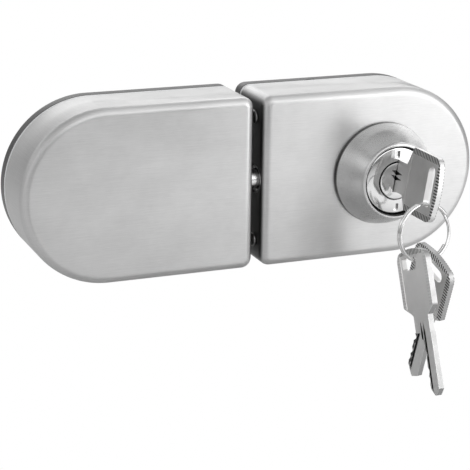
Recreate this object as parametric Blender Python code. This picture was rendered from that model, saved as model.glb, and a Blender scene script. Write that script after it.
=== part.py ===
"""Half-round lock for a pair of glass doors, closed up and locked, with its keys.

The lock half carries the cylinder and the bolt. The strike half takes the bolt.
Each half is a cover, a chassis, a gasket, a clamp plate and a back cover.

Metres, +Z up. The cylinder's axis runs along Y through the origin, the back covers'
flat rear faces lie in the plane Y = 0, and the front of the lock looks towards -Y.
"""

import math

import bmesh
import bpy
from mathutils import Euler, Matrix, Vector

MM = 0.001

# Outline of each half
HALF_LENGTH = 89.5 * MM
HALF_HEIGHT = 66.0 * MM
CORNER_RADIUS = 4.0 * MM
HALVES_GAP = 3.5 * MM
CYLINDER_SETBACK = 49.6 * MM

# Covers, gasket and back covers, from front to rear
COVER_WALL = 1.2 * MM
FACE_FILLET = 3.1 * MM
GASKET_THICKNESS = 1.2 * MM
BACK_DEPTH = 5.4 * MM
BACK_WALL = 1.2 * MM
BACK_FILLET = 1.4 * MM

# Clearances
SEAT_GAP = 0.3 * MM
RUN_GAP = 0.35 * MM

# Chassis
CHASSIS_FLOOR = 3.0 * MM
LUG_THICKNESS = 5.0 * MM
LUG_SIDE_RELIEF = 4.0 * MM
LUG_TOP_RELIEF = 2.0 * MM
BOSS_RADIUS = 5.2 * MM
BOSS_HEIGHT = 10.0 * MM

# Clamp screws, countersunk, with a hexagon socket
CLAMP_SCREW_RADIUS = 2.5 * MM
CLAMP_HEAD_RADIUS = 4.6 * MM
CLAMP_HEAD_DEPTH = 2.3 * MM
CLAMP_SCREW_LENGTH = 18.0 * MM
CLAMP_SOCKET = 3.0 * MM
CLAMP_SOCKET_DEPTH = 1.8 * MM
CLAMP_INNER_SETBACK = 16.0 * MM
CLAMP_OUTER_INSET = 13.5 * MM
CLAMP_SPREAD = 21.0 * MM

# End screws, which hold each cover to its chassis beside the bolt
END_SCREW_RADIUS = 1.5 * MM
END_HEAD_RADIUS = 2.7 * MM
END_HEAD_HEIGHT = 1.1 * MM
END_SCREW_LENGTH = 7.5 * MM
END_SOCKET = 2.0 * MM
END_SOCKET_DEPTH = 0.7 * MM
END_SCREW_SPREAD = 24.0 * MM

# Bolt and its bushes
BOLT_RADIUS = 3.6 * MM
BOLT_DEPTH = 8.0 * MM
BOLT_REACH = 7.5 * MM
BOLT_TIP_CHAMFER = 0.9 * MM
BUSH_WALL = 1.4 * MM
BUSH_RECESS = 0.4 * MM
BUSH_FLANGE = 1.0 * MM
BUSH_FLANGE_THICKNESS = 1.0 * MM
STRIKE_EASE = 0.4 * MM
BOLT_BLOCK_LENGTH = 6.0 * MM
BOLT_BLOCK_START = 8.6 * MM
TAIL_THICKNESS = 2.8 * MM
TAIL_HALF_WIDTH = 4.5 * MM
TAIL_END = 15.5 * MM
FLAG_START = 19.0 * MM
FLAG_TOP = 12.0 * MM
FLAG_END_WALL = 2.6 * MM

# Cam on the rear of the plug
CAM_RADIUS = 8.0 * MM
CAM_SWING = math.radians(90.0)
CAM_THICKNESS = 2.0 * MM
CAM_HUB_RADIUS = 5.2 * MM
CAM_ARM_RADIUS = 2.9 * MM
CAM_PIN_RADIUS = 1.6 * MM
FORK_PLAY = 0.45 * MM
CAM_SCREW_RADIUS = 1.2 * MM
CAM_SCREW_HEAD = 3.4 * MM
CAM_SCREW_HEAD_HEIGHT = 1.9 * MM
CAM_SCREW_LENGTH = 3.0 * MM

# Guide bracket over the bolt's tail
GUIDE_WIDTH = 3.5 * MM
GUIDE_SHEET = 1.5 * MM
GUIDE_FOOT = 6.0 * MM
GUIDE_SCREW_RADIUS = 1.2 * MM
GUIDE_SCREW_HEAD = 2.2 * MM
GUIDE_SCREW_HEAD_HEIGHT = 1.2 * MM
GUIDE_SCREW_LENGTH = 3.9 * MM
RAIL_HALF_WIDTH = 2.0 * MM
RAIL_HEIGHT = 1.6 * MM
RIB_WIDTH = 2.5 * MM
RIB_LENGTH = 9.0 * MM

# Cylinder
HEAD_RADIUS = 12.85 * MM
HEAD_FRONT = 13.0 * MM
HEAD_SHOULDER = 2.9 * MM
HEAD_CHAMFER = 0.6 * MM
BARREL_RADIUS = 10.8 * MM
BARREL_FLAT = 9.3 * MM
PLUG_RADIUS = 7.1 * MM
PLUG_STANDOUT = 0.2 * MM
PLUG_CHAMFER = 0.4 * MM
PLUG_TAIL = 1.0 * MM
TENON_HALF = 2.2 * MM
GROOVE_DEPTH = 0.9 * MM
GROOVE_WIDTH = 1.4 * MM
CLIP_THICKNESS = 0.8 * MM
CLIP_RADIUS = 8.9 * MM
CLIP_GAP_ANGLE = math.radians(60.0)
NUT_ACROSS_FLATS = 27.0 * MM
NUT_THICKNESS = 3.0 * MM
SPANNER_SLOT_WIDTH = 1.8 * MM
SPANNER_SLOT_INNER = 8.9 * MM
SPANNER_SLOT_OUTER = 11.6 * MM
SPANNER_SLOT_DEPTH = 1.0 * MM

# Rose round the cylinder
ROSE_BASE_RADIUS = 19.95 * MM
ROSE_LIP_RADIUS = 14.75 * MM
ROSE_HEIGHT = 14.1 * MM
ROSE_EDGE = 0.9 * MM
ROSE_LIP_ROUND = 0.7 * MM
ROSE_FLOOR = 2.3 * MM
ROSE_BULGE = 0.5 * MM

# Key; a slot is its length, its middle across the bow, its middle from the bow's end and its
# corner radius
KEY_THICKNESS = 2.1 * MM
KEY_LEAN = math.radians(9.0)
BLADE_LENGTH = 23.0 * MM
BLADE_HEIGHT = 8.2 * MM
BLADE_TIP = 2.4 * MM
BLADE_GROOVE_WIDTH = 1.4 * MM
BLADE_GROOVE_DEPTH = 0.5 * MM
BLADE_GROOVE_RISE = 1.0 * MM
BITTING = (0.5 * MM, 1.2 * MM, 0.4 * MM, 1.0 * MM, 0.7 * MM)
BITTING_START = 4.0 * MM
BITTING_PITCH = 3.2 * MM
BITTING_FLAT = 0.25
BITTING_CREST = 0.7
NECK_LENGTH = 6.6 * MM
NECK_HEIGHT = 11.9 * MM
NECK_RISE = 2.15 * MM
BOW_LENGTH = 24.6 * MM
BOW_WIDTH = 24.1 * MM
BOW_RISE = 3.25 * MM
BOW_SHOULDER = 2.5 * MM
BOW_CROWN = 1.0 * MM
BOW_OUTER_RADIUS = 4.0 * MM
BOW_INNER_RADIUS = 1.2 * MM
SLOT_WIDTH = 4.75 * MM
LONG_SLOT = (15.2 * MM, 4.0 * MM, 6.35 * MM, SLOT_WIDTH / 2)
SHORT_SLOT = (11.4 * MM, 5.9 * MM, 5.45 * MM, 1.0 * MM)
PANEL_DEPTH = 0.2 * MM
PANEL_BORDER = 2.4 * MM

# Split ring
RING_RADIUS = 10.8 * MM
RING_WIRE = 1.15 * MM
RING_PITCH = 1.28 * MM
RING_SWING = math.radians(-5.2)
RING_TURN = math.radians(5.5)
RING_SEAT_DEPTH = 1.05 * MM
RING_JOG = 0.09
RING_JOG_AT = math.radians(100.0)

# Hanging keys: place on the ring, place in the slot, and lean
FRONT_KEY_AT = math.radians(-15.0)
FRONT_KEY_HOLD = (1.6 * MM, 2.6 * MM)
FRONT_KEY_LEAN = (math.radians(-22.0), math.radians(-1.0), math.radians(-0.8))
REAR_KEY_AT = math.radians(19.0)
REAR_KEY_HOLD = (1.4 * MM, 7.0 * MM)
REAR_KEY_LEAN = (math.radians(19.5), math.radians(-2.1), math.radians(4.9))

# Small notches in the rims, for prising a cover off
NOTCH_LENGTH = 5.0 * MM
NOTCH_DEPTH = 0.9 * MM
NOTCH_DROP = 1.5 * MM
BACK_NOTCH_LENGTH = 3.4 * MM
BACK_NOTCH_SETBACK = 30.0 * MM

# Facets
END_STEPS = 36
CORNER_STEPS = 4
FILLET_STEPS = 4
FINE_STEPS = 48
MEDIUM_STEPS = 32
SMALL_STEPS = 24
WIRE_SIDES = 7
SHARP_ANGLE = math.radians(30.0)
RING_STEPS = 40
CUT_MARGIN = 1.0 * MM
SAME_POINT = 0.001 * MM

# A cover is as deep as the plug behind its face, the cam, the bolt's tail and the chassis floor
PLUG_REACH = BLADE_LENGTH + 2 * SEAT_GAP + GROOVE_WIDTH + PLUG_TAIL - SEAT_GAP - PLUG_STANDOUT - HEAD_FRONT
CAM_STACK = SEAT_GAP + CAM_THICKNESS + SEAT_GAP + TAIL_THICKNESS + SEAT_GAP
COVER_DEPTH = PLUG_REACH + CAM_STACK + RAIL_HEIGHT + CHASSIS_FLOOR

# Planes along Y, from the rear face forward
BACK_FACE_Y = 0.0
BACK_RIM_Y = BACK_FACE_Y - BACK_DEPTH
GASKET_REAR_Y = BACK_RIM_Y - SEAT_GAP
GASKET_FRONT_Y = GASKET_REAR_Y - GASKET_THICKNESS
COVER_RIM_Y = GASKET_FRONT_Y - SEAT_GAP
COVER_FACE_Y = COVER_RIM_Y - COVER_DEPTH
COVER_INNER_Y = COVER_FACE_Y + COVER_WALL
FLOOR_FRONT_Y = COVER_RIM_Y - CHASSIS_FLOOR
BOLT_Y = COVER_FACE_Y + BOLT_DEPTH

# Ends along X
LOCK_IN_X = -CYLINDER_SETBACK
LOCK_OUT_X = LOCK_IN_X + HALF_LENGTH
STRIKE_IN_X = LOCK_IN_X - HALVES_GAP
STRIKE_OUT_X = STRIKE_IN_X - HALF_LENGTH
LOCK = (LOCK_IN_X, LOCK_OUT_X)
STRIKE = (STRIKE_IN_X, STRIKE_OUT_X)

# Bushes and the holes that they sit in
BUSH_BORE = BOLT_RADIUS + RUN_GAP
BUSH_RADIUS = BUSH_BORE + BUSH_WALL
BUSH_HOLE = BUSH_RADIUS + SEAT_GAP

# Cylinder, cam and bolt tail, stacked from the rear of the plug
HEAD_FRONT_Y = COVER_FACE_Y - HEAD_FRONT
PLUG_FRONT_Y = HEAD_FRONT_Y - PLUG_STANDOUT
KEY_SHOULDER_Y = PLUG_FRONT_Y - SEAT_GAP
KEYWAY_END_Y = KEY_SHOULDER_Y + BLADE_LENGTH + SEAT_GAP
GROOVE_FRONT_Y = KEYWAY_END_Y + SEAT_GAP
BARREL_REAR_Y = GROOVE_FRONT_Y + SEAT_GAP / 2
GROOVE_REAR_Y = GROOVE_FRONT_Y + GROOVE_WIDTH
PLUG_REAR_Y = GROOVE_REAR_Y + PLUG_TAIL
CAM_FRONT_Y = PLUG_REAR_Y + SEAT_GAP
CAM_REAR_Y = CAM_FRONT_Y + CAM_THICKNESS
TENON_REAR_Y = CAM_REAR_Y - SEAT_GAP / 2
TAIL_FRONT_Y = CAM_REAR_Y + SEAT_GAP
TAIL_REAR_Y = TAIL_FRONT_Y + TAIL_THICKNESS
CAM_PIN_END_Y = TAIL_REAR_Y - SEAT_GAP
RAIL_TOP_Y = TAIL_REAR_Y + SEAT_GAP

# Cam pin at rest, and the bolt's travel as the cam swings across
CAM_START = CAM_SWING / 2
PIN_X = -CAM_RADIUS * math.sin(CAM_START)
PIN_Z = CAM_RADIUS * math.cos(CAM_START)
BOLT_TRAVEL = 2.0 * CAM_RADIUS * math.sin(CAM_START)
FORK_HALF_WIDTH = CAM_PIN_RADIUS + FORK_PLAY
FORK_TOP = CAM_RADIUS
FLAG_FOOT = CAM_SCREW_HEAD + FORK_PLAY + SEAT_GAP
BOLT_TIP_X = STRIKE_IN_X - BOLT_REACH

# Guide bracket, just clear of the flag on one side and the block on the other
GUIDE_END_X = -FLAG_START - FORK_PLAY
GUIDE_START_X = GUIDE_END_X - GUIDE_WIDTH
GUIDE_FRONT_Y = TAIL_FRONT_Y - RUN_GAP - GUIDE_SHEET
GUIDE_LEG_Z = TAIL_HALF_WIDTH + RUN_GAP
GUIDE_SCREW_Z = GUIDE_LEG_Z + GUIDE_SHEET + GUIDE_SCREW_HEAD + SEAT_GAP

# Key's bow in the key's own frame, in which the bow points to -Y
BOW_INNER_Y = -NECK_LENGTH
BOW_END_Y = BOW_INNER_Y - BOW_LENGTH
RING_SEAT_Z = LONG_SLOT[1] - LONG_SLOT[0] / 2 + SLOT_WIDTH / 2 - RING_SEAT_DEPTH


def clear_scene():
    """Remove whatever objects the scene already holds."""
    for item in list(bpy.data.objects):
        bpy.data.objects.remove(item, do_unlink=True)


def finish(name, color, roughness, metallic):
    """A Principled material with one colour."""
    made = bpy.data.materials.get(name) or bpy.data.materials.new(name)
    made.use_nodes = True
    shader = made.node_tree.nodes["Principled BSDF"]
    shader.inputs["Base Color"].default_value = (*color, 1.0)
    shader.inputs["Roughness"].default_value = roughness
    shader.inputs["Metallic"].default_value = metallic
    made.diffuse_color = (*color, 1.0)
    return made


def satin_steel():
    return finish("satin_steel", (0.66, 0.66, 0.67), 0.34, 1.0)


def back_steel():
    return finish("back_steel", (0.36, 0.36, 0.37), 0.40, 1.0)


def polished_chrome():
    return finish("polished_chrome", (0.80, 0.80, 0.82), 0.08, 1.0)


def cast_zinc():
    return finish("cast_zinc", (0.42, 0.43, 0.45), 0.55, 1.0)


def screw_steel():
    return finish("screw_steel", (0.60, 0.60, 0.62), 0.25, 1.0)


def key_nickel():
    return finish("key_nickel", (0.50, 0.49, 0.49), 0.38, 1.0)


def clear_rubber():
    return finish("clear_rubber", (0.86, 0.87, 0.88), 0.45, 0.0)


def turned_brass():
    return finish("turned_brass", (0.70, 0.56, 0.30), 0.35, 1.0)


def loft(loops, ring=False):
    """Bridge loops of equal length into one closed body; a ring has no end caps."""
    bm = bmesh.new()
    rows = [[bm.verts.new(point) for point in loop] for loop in loops]
    count = len(rows[0])
    pairs = list(zip(rows, rows[1:]))
    if ring:
        pairs.append((rows[-1], rows[0]))
    for first, second in pairs:
        for i in range(count):
            j = (i + 1) % count
            bm.faces.new((first[i], first[j], second[j], second[i]))
    if not ring:
        bm.faces.new(rows[0])
        bm.faces.new(rows[-1])
    bmesh.ops.recalc_face_normals(bm, faces=bm.faces)
    if bm.calc_volume(signed=True) < 0.0:
        bmesh.ops.reverse_faces(bm, faces=bm.faces)
    return bm


def merge(parts):
    """Gather separate closed bodies into one bmesh."""
    whole = bmesh.new()
    for bm in parts:
        piece = bpy.data.meshes.new("piece")
        bm.to_mesh(piece)
        bm.free()
        whole.from_mesh(piece)
        bpy.data.meshes.remove(piece)
    return whole


def mesh_from(bm, name, origin):
    """Write a bmesh into a mesh whose points are measured from the origin."""
    bmesh.ops.translate(bm, verts=bm.verts, vec=-Vector(origin))
    for face in bm.faces:
        face.smooth = len(face.verts) == 4
    mesh = bpy.data.meshes.new(name)
    bm.to_mesh(mesh)
    bm.free()
    mesh.set_sharp_from_angle(angle=SHARP_ANGLE)
    return mesh


def place(name, bm, material, origin=(0.0, 0.0, 0.0), parent=None):
    """Make a named object from a bmesh in world coordinates, seated at its origin."""
    mesh = mesh_from(bm, name, origin)
    mesh.materials.append(material)
    item = bpy.data.objects.new(name, mesh)
    bpy.context.collection.objects.link(item)
    item.location = Vector(origin)
    if parent is not None:
        item.parent = parent
        item.location = Vector(origin) - parent.location
    return item


def tool(name, bm):
    """A hidden body that a Boolean modifier reads."""
    mesh = mesh_from(bm, name, (0.0, 0.0, 0.0))
    item = bpy.data.objects.new(name, mesh)
    bpy.context.collection.objects.link(item)
    item.hide_render = True
    item.display_type = "WIRE"
    return item


def combine(item, other, operation):
    """Add an exact Boolean modifier to an object."""
    modifier = item.modifiers.new(other.name, "BOOLEAN")
    modifier.operation = operation
    modifier.solver = "EXACT"
    modifier.object = other


def pivot(name, location, rotation=(0.0, 0.0, 0.0)):
    """An empty on a joint's axis."""
    item = bpy.data.objects.new(name, None)
    bpy.context.collection.objects.link(item)
    item.location = Vector(location)
    item.rotation_euler = Euler(rotation)
    return item


def circle_y(radius, y, x=0.0, z=0.0, steps=FINE_STEPS):
    """A circle round a line along Y."""
    return [Vector((x + radius * math.cos(a), y, z + radius * math.sin(a))) for a in angles(steps)]


def circle_x(radius, x, y=0.0, z=0.0, steps=MEDIUM_STEPS):
    """A circle round a line along X."""
    return [Vector((x, y + radius * math.cos(a), z + radius * math.sin(a))) for a in angles(steps)]


def angles(steps):
    return [2.0 * math.pi * i / steps for i in range(steps)]


def polygon_radius(angle, sides, apothem):
    """How far a regular polygon's side is from its centre at an angle."""
    wedge = 2.0 * math.pi / sides
    return apothem / math.cos(angle % wedge - wedge / 2)


def polygon_y(sides, apothem, y, x=0.0, z=0.0, steps=SMALL_STEPS):
    """A regular polygon round a line along Y, with as many points as a circle has."""
    points = []
    for a in angles(steps):
        r = polygon_radius(a, sides, apothem)
        points.append(Vector((x + r * math.cos(a), y, z + r * math.sin(a))))
    return points


def arc(cx, cz, radius, start, end, steps):
    """Points of an arc in a plane, both ends included."""
    return [
        (cx + radius * math.cos(start + (end - start) * i / steps),
         cz + radius * math.sin(start + (end - start) * i / steps))
        for i in range(steps + 1)
    ]


def along(half, distance):
    """X at a distance from a half's inner end, towards its round end."""
    inner, outer = half
    return inner + distance * math.copysign(1.0, outer - inner)


def half_outline(half, inset):
    """The outline of a half, drawn in by an inset: square inner end, round outer end."""
    side = math.copysign(1.0, half[1] - half[0])
    end_radius = HALF_HEIGHT / 2
    corner = max(CORNER_RADIUS - inset, SEAT_GAP)
    reach = end_radius - inset
    points = []
    quarter = math.pi / 2
    for u, z in arc(HALF_LENGTH - end_radius, 0.0, reach, -quarter, quarter, END_STEPS):
        points.append((u, z))
    for u, z in arc(inset + corner, reach - corner, corner, quarter, 2 * quarter, CORNER_STEPS):
        points.append((u, z))
    for u, z in arc(inset + corner, corner - reach, corner, 2 * quarter, 3 * quarter, CORNER_STEPS):
        points.append((u, z))
    return [(half[0] + side * u, z) for u, z in points]


def plane_loop(outline, y):
    return [Vector((x, y, z)) for x, z in outline]


def half_plate(half, inset, y0, y1):
    """A flat plate with a half's outline."""
    outline = half_outline(half, inset)
    return loft([plane_loop(outline, y0), plane_loop(outline, y1)])


def cup(half, rim_y, face_y, wall, fillet):
    """A drawn cover: outer face, rounded edge, side wall, open rim and even wall."""
    front = math.copysign(1.0, rim_y - face_y)
    loops = []
    inner_round = fillet - wall
    for i in range(FILLET_STEPS + 1):
        a = math.pi / 2 * i / FILLET_STEPS
        inset = wall + inner_round * (1.0 - math.sin(a))
        y = face_y + front * (wall + inner_round * (1.0 - math.cos(a)))
        loops.append(plane_loop(half_outline(half, inset), y))
    loops.append(plane_loop(half_outline(half, wall), rim_y))
    loops.append(plane_loop(half_outline(half, 0.0), rim_y))
    for i in range(FILLET_STEPS, -1, -1):
        a = math.pi / 2 * i / FILLET_STEPS
        inset = fillet * (1.0 - math.sin(a))
        y = face_y + front * fillet * (1.0 - math.cos(a))
        loops.append(plane_loop(half_outline(half, inset), y))
    return loft(loops)


def box(x0, x1, y0, y1, z0, z1):
    """A block between two corners."""
    corners = [(x0, z0), (x1, z0), (x1, z1), (x0, z1)]
    return loft([plane_loop(corners, y0), plane_loop(corners, y1)])


def rod_x(radius, x0, x1, y, z, steps=SMALL_STEPS):
    return loft([circle_x(radius, x0, y, z, steps), circle_x(radius, x1, y, z, steps)])


def rod_y(radius, y0, y1, x, z, steps=SMALL_STEPS):
    return loft([circle_y(radius, y0, x, z, steps), circle_y(radius, y1, x, z, steps)])


def turned_y(profile, ring=False, steps=FINE_STEPS):
    """Turn a profile of (radius, y) points round the cylinder's axis."""
    return loft([circle_y(r, y, steps=steps) for r, y in profile], ring)


def turned_x(profile, y, z, ring=False, steps=MEDIUM_STEPS):
    """Turn a profile of (radius, x) points round a line along X."""
    return loft([circle_x(r, x, y, z, steps) for r, x in profile], ring)


def clamp_points(half):
    """Where the clamp screws stand: a pair by the inner end and one by the round end."""
    inner = along(half, CLAMP_INNER_SETBACK)
    outer = along(half, HALF_LENGTH - CLAMP_OUTER_INSET)
    return [("upper", inner, CLAMP_SPREAD), ("lower", inner, -CLAMP_SPREAD), ("outer", outer, 0.0)]


def clamp_hole(x, z):
    """The way of a clamp screw, countersunk at the rear, with clearance all round."""
    shaft = CLAMP_SCREW_RADIUS + SEAT_GAP
    head = CLAMP_HEAD_RADIUS + SEAT_GAP
    seat_y = BACK_FACE_Y - CLAMP_HEAD_DEPTH
    front_y = FLOOR_FRONT_Y - BOSS_HEIGHT - CUT_MARGIN
    profile = [
        (head, BACK_FACE_Y + CUT_MARGIN),
        (head, BACK_FACE_Y - SEAT_GAP),
        (shaft, seat_y - SEAT_GAP),
        (shaft, front_y),
    ]
    return loft([circle_y(r, y, x, z, SMALL_STEPS) for r, y in profile])


def clamp_screw(name, x, z):
    """A countersunk screw with a hexagon socket in its rear face."""
    top = BACK_FACE_Y - SEAT_GAP / 2
    socket = CLAMP_SOCKET / 2
    loops = [
        polygon_y(6, socket, top - CLAMP_SOCKET_DEPTH, x, z),
        polygon_y(6, socket, top, x, z),
        circle_y(CLAMP_HEAD_RADIUS, top, x, z, SMALL_STEPS),
        circle_y(CLAMP_HEAD_RADIUS, top - SEAT_GAP, x, z, SMALL_STEPS),
        circle_y(CLAMP_SCREW_RADIUS, BACK_FACE_Y - CLAMP_HEAD_DEPTH, x, z, SMALL_STEPS),
        circle_y(CLAMP_SCREW_RADIUS, BACK_FACE_Y - CLAMP_SCREW_LENGTH, x, z, SMALL_STEPS),
    ]
    return place(name, loft(loops), screw_steel(), (x, BACK_FACE_Y, z))


def end_hole(half, z):
    """The way of an end screw through the cover's end wall and the chassis lug."""
    start = along(half, -CUT_MARGIN)
    end = along(half, COVER_WALL + SEAT_GAP + LUG_THICKNESS + CUT_MARGIN)
    return rod_x(END_SCREW_RADIUS + SEAT_GAP, start, end, BOLT_Y, z)


def end_screw(name, half, z):
    """A low round-headed screw in the end wall, beside the bolt."""
    head_top = along(half, -SEAT_GAP - END_HEAD_HEIGHT)
    head_seat = along(half, -SEAT_GAP)
    tip = along(half, END_SCREW_LENGTH)
    floor = along(half, END_SOCKET_DEPTH - SEAT_GAP - END_HEAD_HEIGHT)
    crown = END_HEAD_HEIGHT / 2
    loops = [
        hexagon_x(END_SOCKET / 2, floor, z),
        hexagon_x(END_SOCKET / 2, head_top, z),
        circle_x(END_HEAD_RADIUS - crown, head_top, BOLT_Y, z, SMALL_STEPS),
        circle_x(END_HEAD_RADIUS, along(half, -SEAT_GAP - crown), BOLT_Y, z, SMALL_STEPS),
        circle_x(END_HEAD_RADIUS, head_seat, BOLT_Y, z, SMALL_STEPS),
        circle_x(END_SCREW_RADIUS, head_seat, BOLT_Y, z, SMALL_STEPS),
        circle_x(END_SCREW_RADIUS, tip, BOLT_Y, z, SMALL_STEPS),
    ]
    return place(name, loft(loops), screw_steel(), (head_seat, BOLT_Y, z))


def hexagon_x(apothem, x, z):
    """A hexagon round an end screw's axis, with as many points as its circles have."""
    points = []
    for a in angles(SMALL_STEPS):
        r = polygon_radius(a, 6, apothem)
        points.append(Vector((x, BOLT_Y + r * math.cos(a), z + r * math.sin(a))))
    return points


def bush(name, half, bore):
    """A flanged bush through the end wall and the lug."""
    front = along(half, BUSH_RECESS)
    lug_end = COVER_WALL + SEAT_GAP + LUG_THICKNESS
    flange_front = along(half, lug_end + SEAT_GAP)
    rear = along(half, lug_end + SEAT_GAP + BUSH_FLANGE_THICKNESS)
    profile = [
        (bore, front),
        (BUSH_RADIUS, front),
        (BUSH_RADIUS, flange_front),
        (BUSH_RADIUS + BUSH_FLANGE, flange_front),
        (BUSH_RADIUS + BUSH_FLANGE, rear),
        (bore, rear),
    ]
    return place(name, turned_x(profile, BOLT_Y, 0.0, ring=True), turned_brass(), (front, BOLT_Y, 0.0))


def bush_hole(half):
    start = along(half, -CUT_MARGIN)
    end = along(half, COVER_WALL + SEAT_GAP + LUG_THICKNESS + CUT_MARGIN)
    return rod_x(BUSH_HOLE, start, end, BOLT_Y, 0.0, MEDIUM_STEPS)


def lug(half):
    """The end wall of a chassis, inside the cover's end wall."""
    start = along(half, COVER_WALL + SEAT_GAP)
    end = along(half, COVER_WALL + SEAT_GAP + LUG_THICKNESS)
    reach = HALF_HEIGHT / 2 - COVER_WALL - SEAT_GAP - LUG_SIDE_RELIEF
    return box(start, end, FLOOR_FRONT_Y + CHASSIS_FLOOR / 2, COVER_INNER_Y + LUG_TOP_RELIEF, -reach, reach)


def bosses(half):
    root_y = FLOOR_FRONT_Y + CHASSIS_FLOOR / 2
    top_y = FLOOR_FRONT_Y - BOSS_HEIGHT
    return [rod_y(BOSS_RADIUS, root_y, top_y, x, z) for _, x, z in clamp_points(half)]


def chassis(name, half, extras, holes):
    """A cast chassis: floor, end lug, screw bosses and what the half adds to them."""
    inset = COVER_WALL + SEAT_GAP
    item = place(name, half_plate(half, inset, COVER_RIM_Y, FLOOR_FRONT_Y), cast_zinc())
    combine(item, tool(name + "_walls", merge([lug(half)] + bosses(half) + extras)), "UNION")
    for hole in holes:
        combine(item, hole, "DIFFERENCE")
    return item


def half_common(prefix, half, extras, end_cuts):
    """Everything that both halves have; returns the cover and the back cover."""
    screws = tool(prefix + "_clamp_holes", merge([clamp_hole(x, z) for _, x, z in clamp_points(half)]))
    ends = tool(prefix + "_end_holes", merge([end_hole(half, z) for z in (END_SCREW_SPREAD, -END_SCREW_SPREAD)]))
    bolt_way = tool(prefix + "_bush_hole", bush_hole(half))

    cover = place(prefix + "_cover", cup(half, COVER_RIM_Y, COVER_FACE_Y, COVER_WALL, FACE_FILLET), satin_steel())
    for hole in [ends, bolt_way] + end_cuts:
        combine(cover, hole, "DIFFERENCE")
    chassis(prefix + "_chassis", half, extras, [screws, ends, bolt_way])

    gasket = place(prefix + "_gasket", half_plate(half, 0.0, GASKET_FRONT_Y, GASKET_REAR_Y), clear_rubber())
    clamp_inset = BACK_WALL + SEAT_GAP
    clamp_rear = BACK_FACE_Y - BACK_WALL - SEAT_GAP
    clamp = place(prefix + "_clamp_plate", half_plate(half, clamp_inset, BACK_RIM_Y, clamp_rear), cast_zinc())
    back = place(prefix + "_back_cover", cup(half, BACK_RIM_Y, BACK_FACE_Y, BACK_WALL, BACK_FILLET), back_steel())
    for item in (gasket, clamp, back):
        combine(item, screws, "DIFFERENCE")

    for place_name, x, z in clamp_points(half):
        clamp_screw(prefix + "_clamp_screw_" + place_name, x, z)
    end_screw(prefix + "_end_screw_upper", half, END_SCREW_SPREAD)
    end_screw(prefix + "_end_screw_lower", half, -END_SCREW_SPREAD)
    return cover, back


def bolt_guides():
    """Rail and side ribs that the bolt's tail runs between."""
    root_y = FLOOR_FRONT_Y + CHASSIS_FLOOR / 2
    block_x = along(LOCK, BOLT_BLOCK_START)
    rib_end = GUIDE_START_X - SEAT_GAP
    rib_start = rib_end - RIB_LENGTH
    parts = [box(block_x, PIN_X, root_y, RAIL_TOP_Y, -RAIL_HALF_WIDTH, RAIL_HALF_WIDTH)]
    for side in (1.0, -1.0):
        inner = side * GUIDE_LEG_Z
        outer = side * (GUIDE_LEG_Z + RIB_WIDTH)
        parts.append(box(rib_start, rib_end, root_y, TAIL_FRONT_Y, min(inner, outer), max(inner, outer)))
    return parts


def guide_screw_holes():
    x = (GUIDE_START_X + GUIDE_END_X) / 2
    y0 = COVER_RIM_Y - SEAT_GAP
    y1 = FLOOR_FRONT_Y - SEAT_GAP - GUIDE_SHEET - CUT_MARGIN
    radius = GUIDE_SCREW_RADIUS + SEAT_GAP
    return merge([rod_y(radius, y0, y1, x, side * GUIDE_SCREW_Z) for side in (1.0, -1.0)])


def bolt_guide(holes):
    """A folded strap over the bolt's tail, with a foot on each side."""
    foot_rear = FLOOR_FRONT_Y - SEAT_GAP
    foot_front = foot_rear - GUIDE_SHEET
    under = GUIDE_FRONT_Y + GUIDE_SHEET
    leg_out = GUIDE_LEG_Z + GUIDE_SHEET
    foot_out = leg_out + GUIDE_FOOT
    right = [
        (GUIDE_LEG_Z, under), (GUIDE_LEG_Z, foot_rear), (foot_out, foot_rear),
        (foot_out, foot_front), (leg_out, foot_front), (leg_out, GUIDE_FRONT_Y),
    ]
    outline = right + [(-z, y) for z, y in reversed(right)]
    loops = [[Vector((x, y, z)) for z, y in outline] for x in (GUIDE_START_X, GUIDE_END_X)]
    item = place("bolt_guide", loft(loops), screw_steel(), (GUIDE_START_X, foot_rear, 0.0))
    combine(item, holes, "DIFFERENCE")


def guide_screw(name, side):
    """A small pan-headed screw in a foot of the guide."""
    x = (GUIDE_START_X + GUIDE_END_X) / 2
    z = side * GUIDE_SCREW_Z
    seat = FLOOR_FRONT_Y - 2 * SEAT_GAP - GUIDE_SHEET
    top = seat - GUIDE_SCREW_HEAD_HEIGHT
    tip = seat + GUIDE_SCREW_LENGTH
    profile = [
        (GUIDE_SCREW_HEAD - SEAT_GAP, top), (GUIDE_SCREW_HEAD, top + SEAT_GAP),
        (GUIDE_SCREW_HEAD, seat), (GUIDE_SCREW_RADIUS, seat), (GUIDE_SCREW_RADIUS, tip),
    ]
    loops = [circle_y(r, y, x, z, SMALL_STEPS) for r, y in profile]
    place(name, loft(loops), screw_steel(), (x, seat, z))


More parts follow.
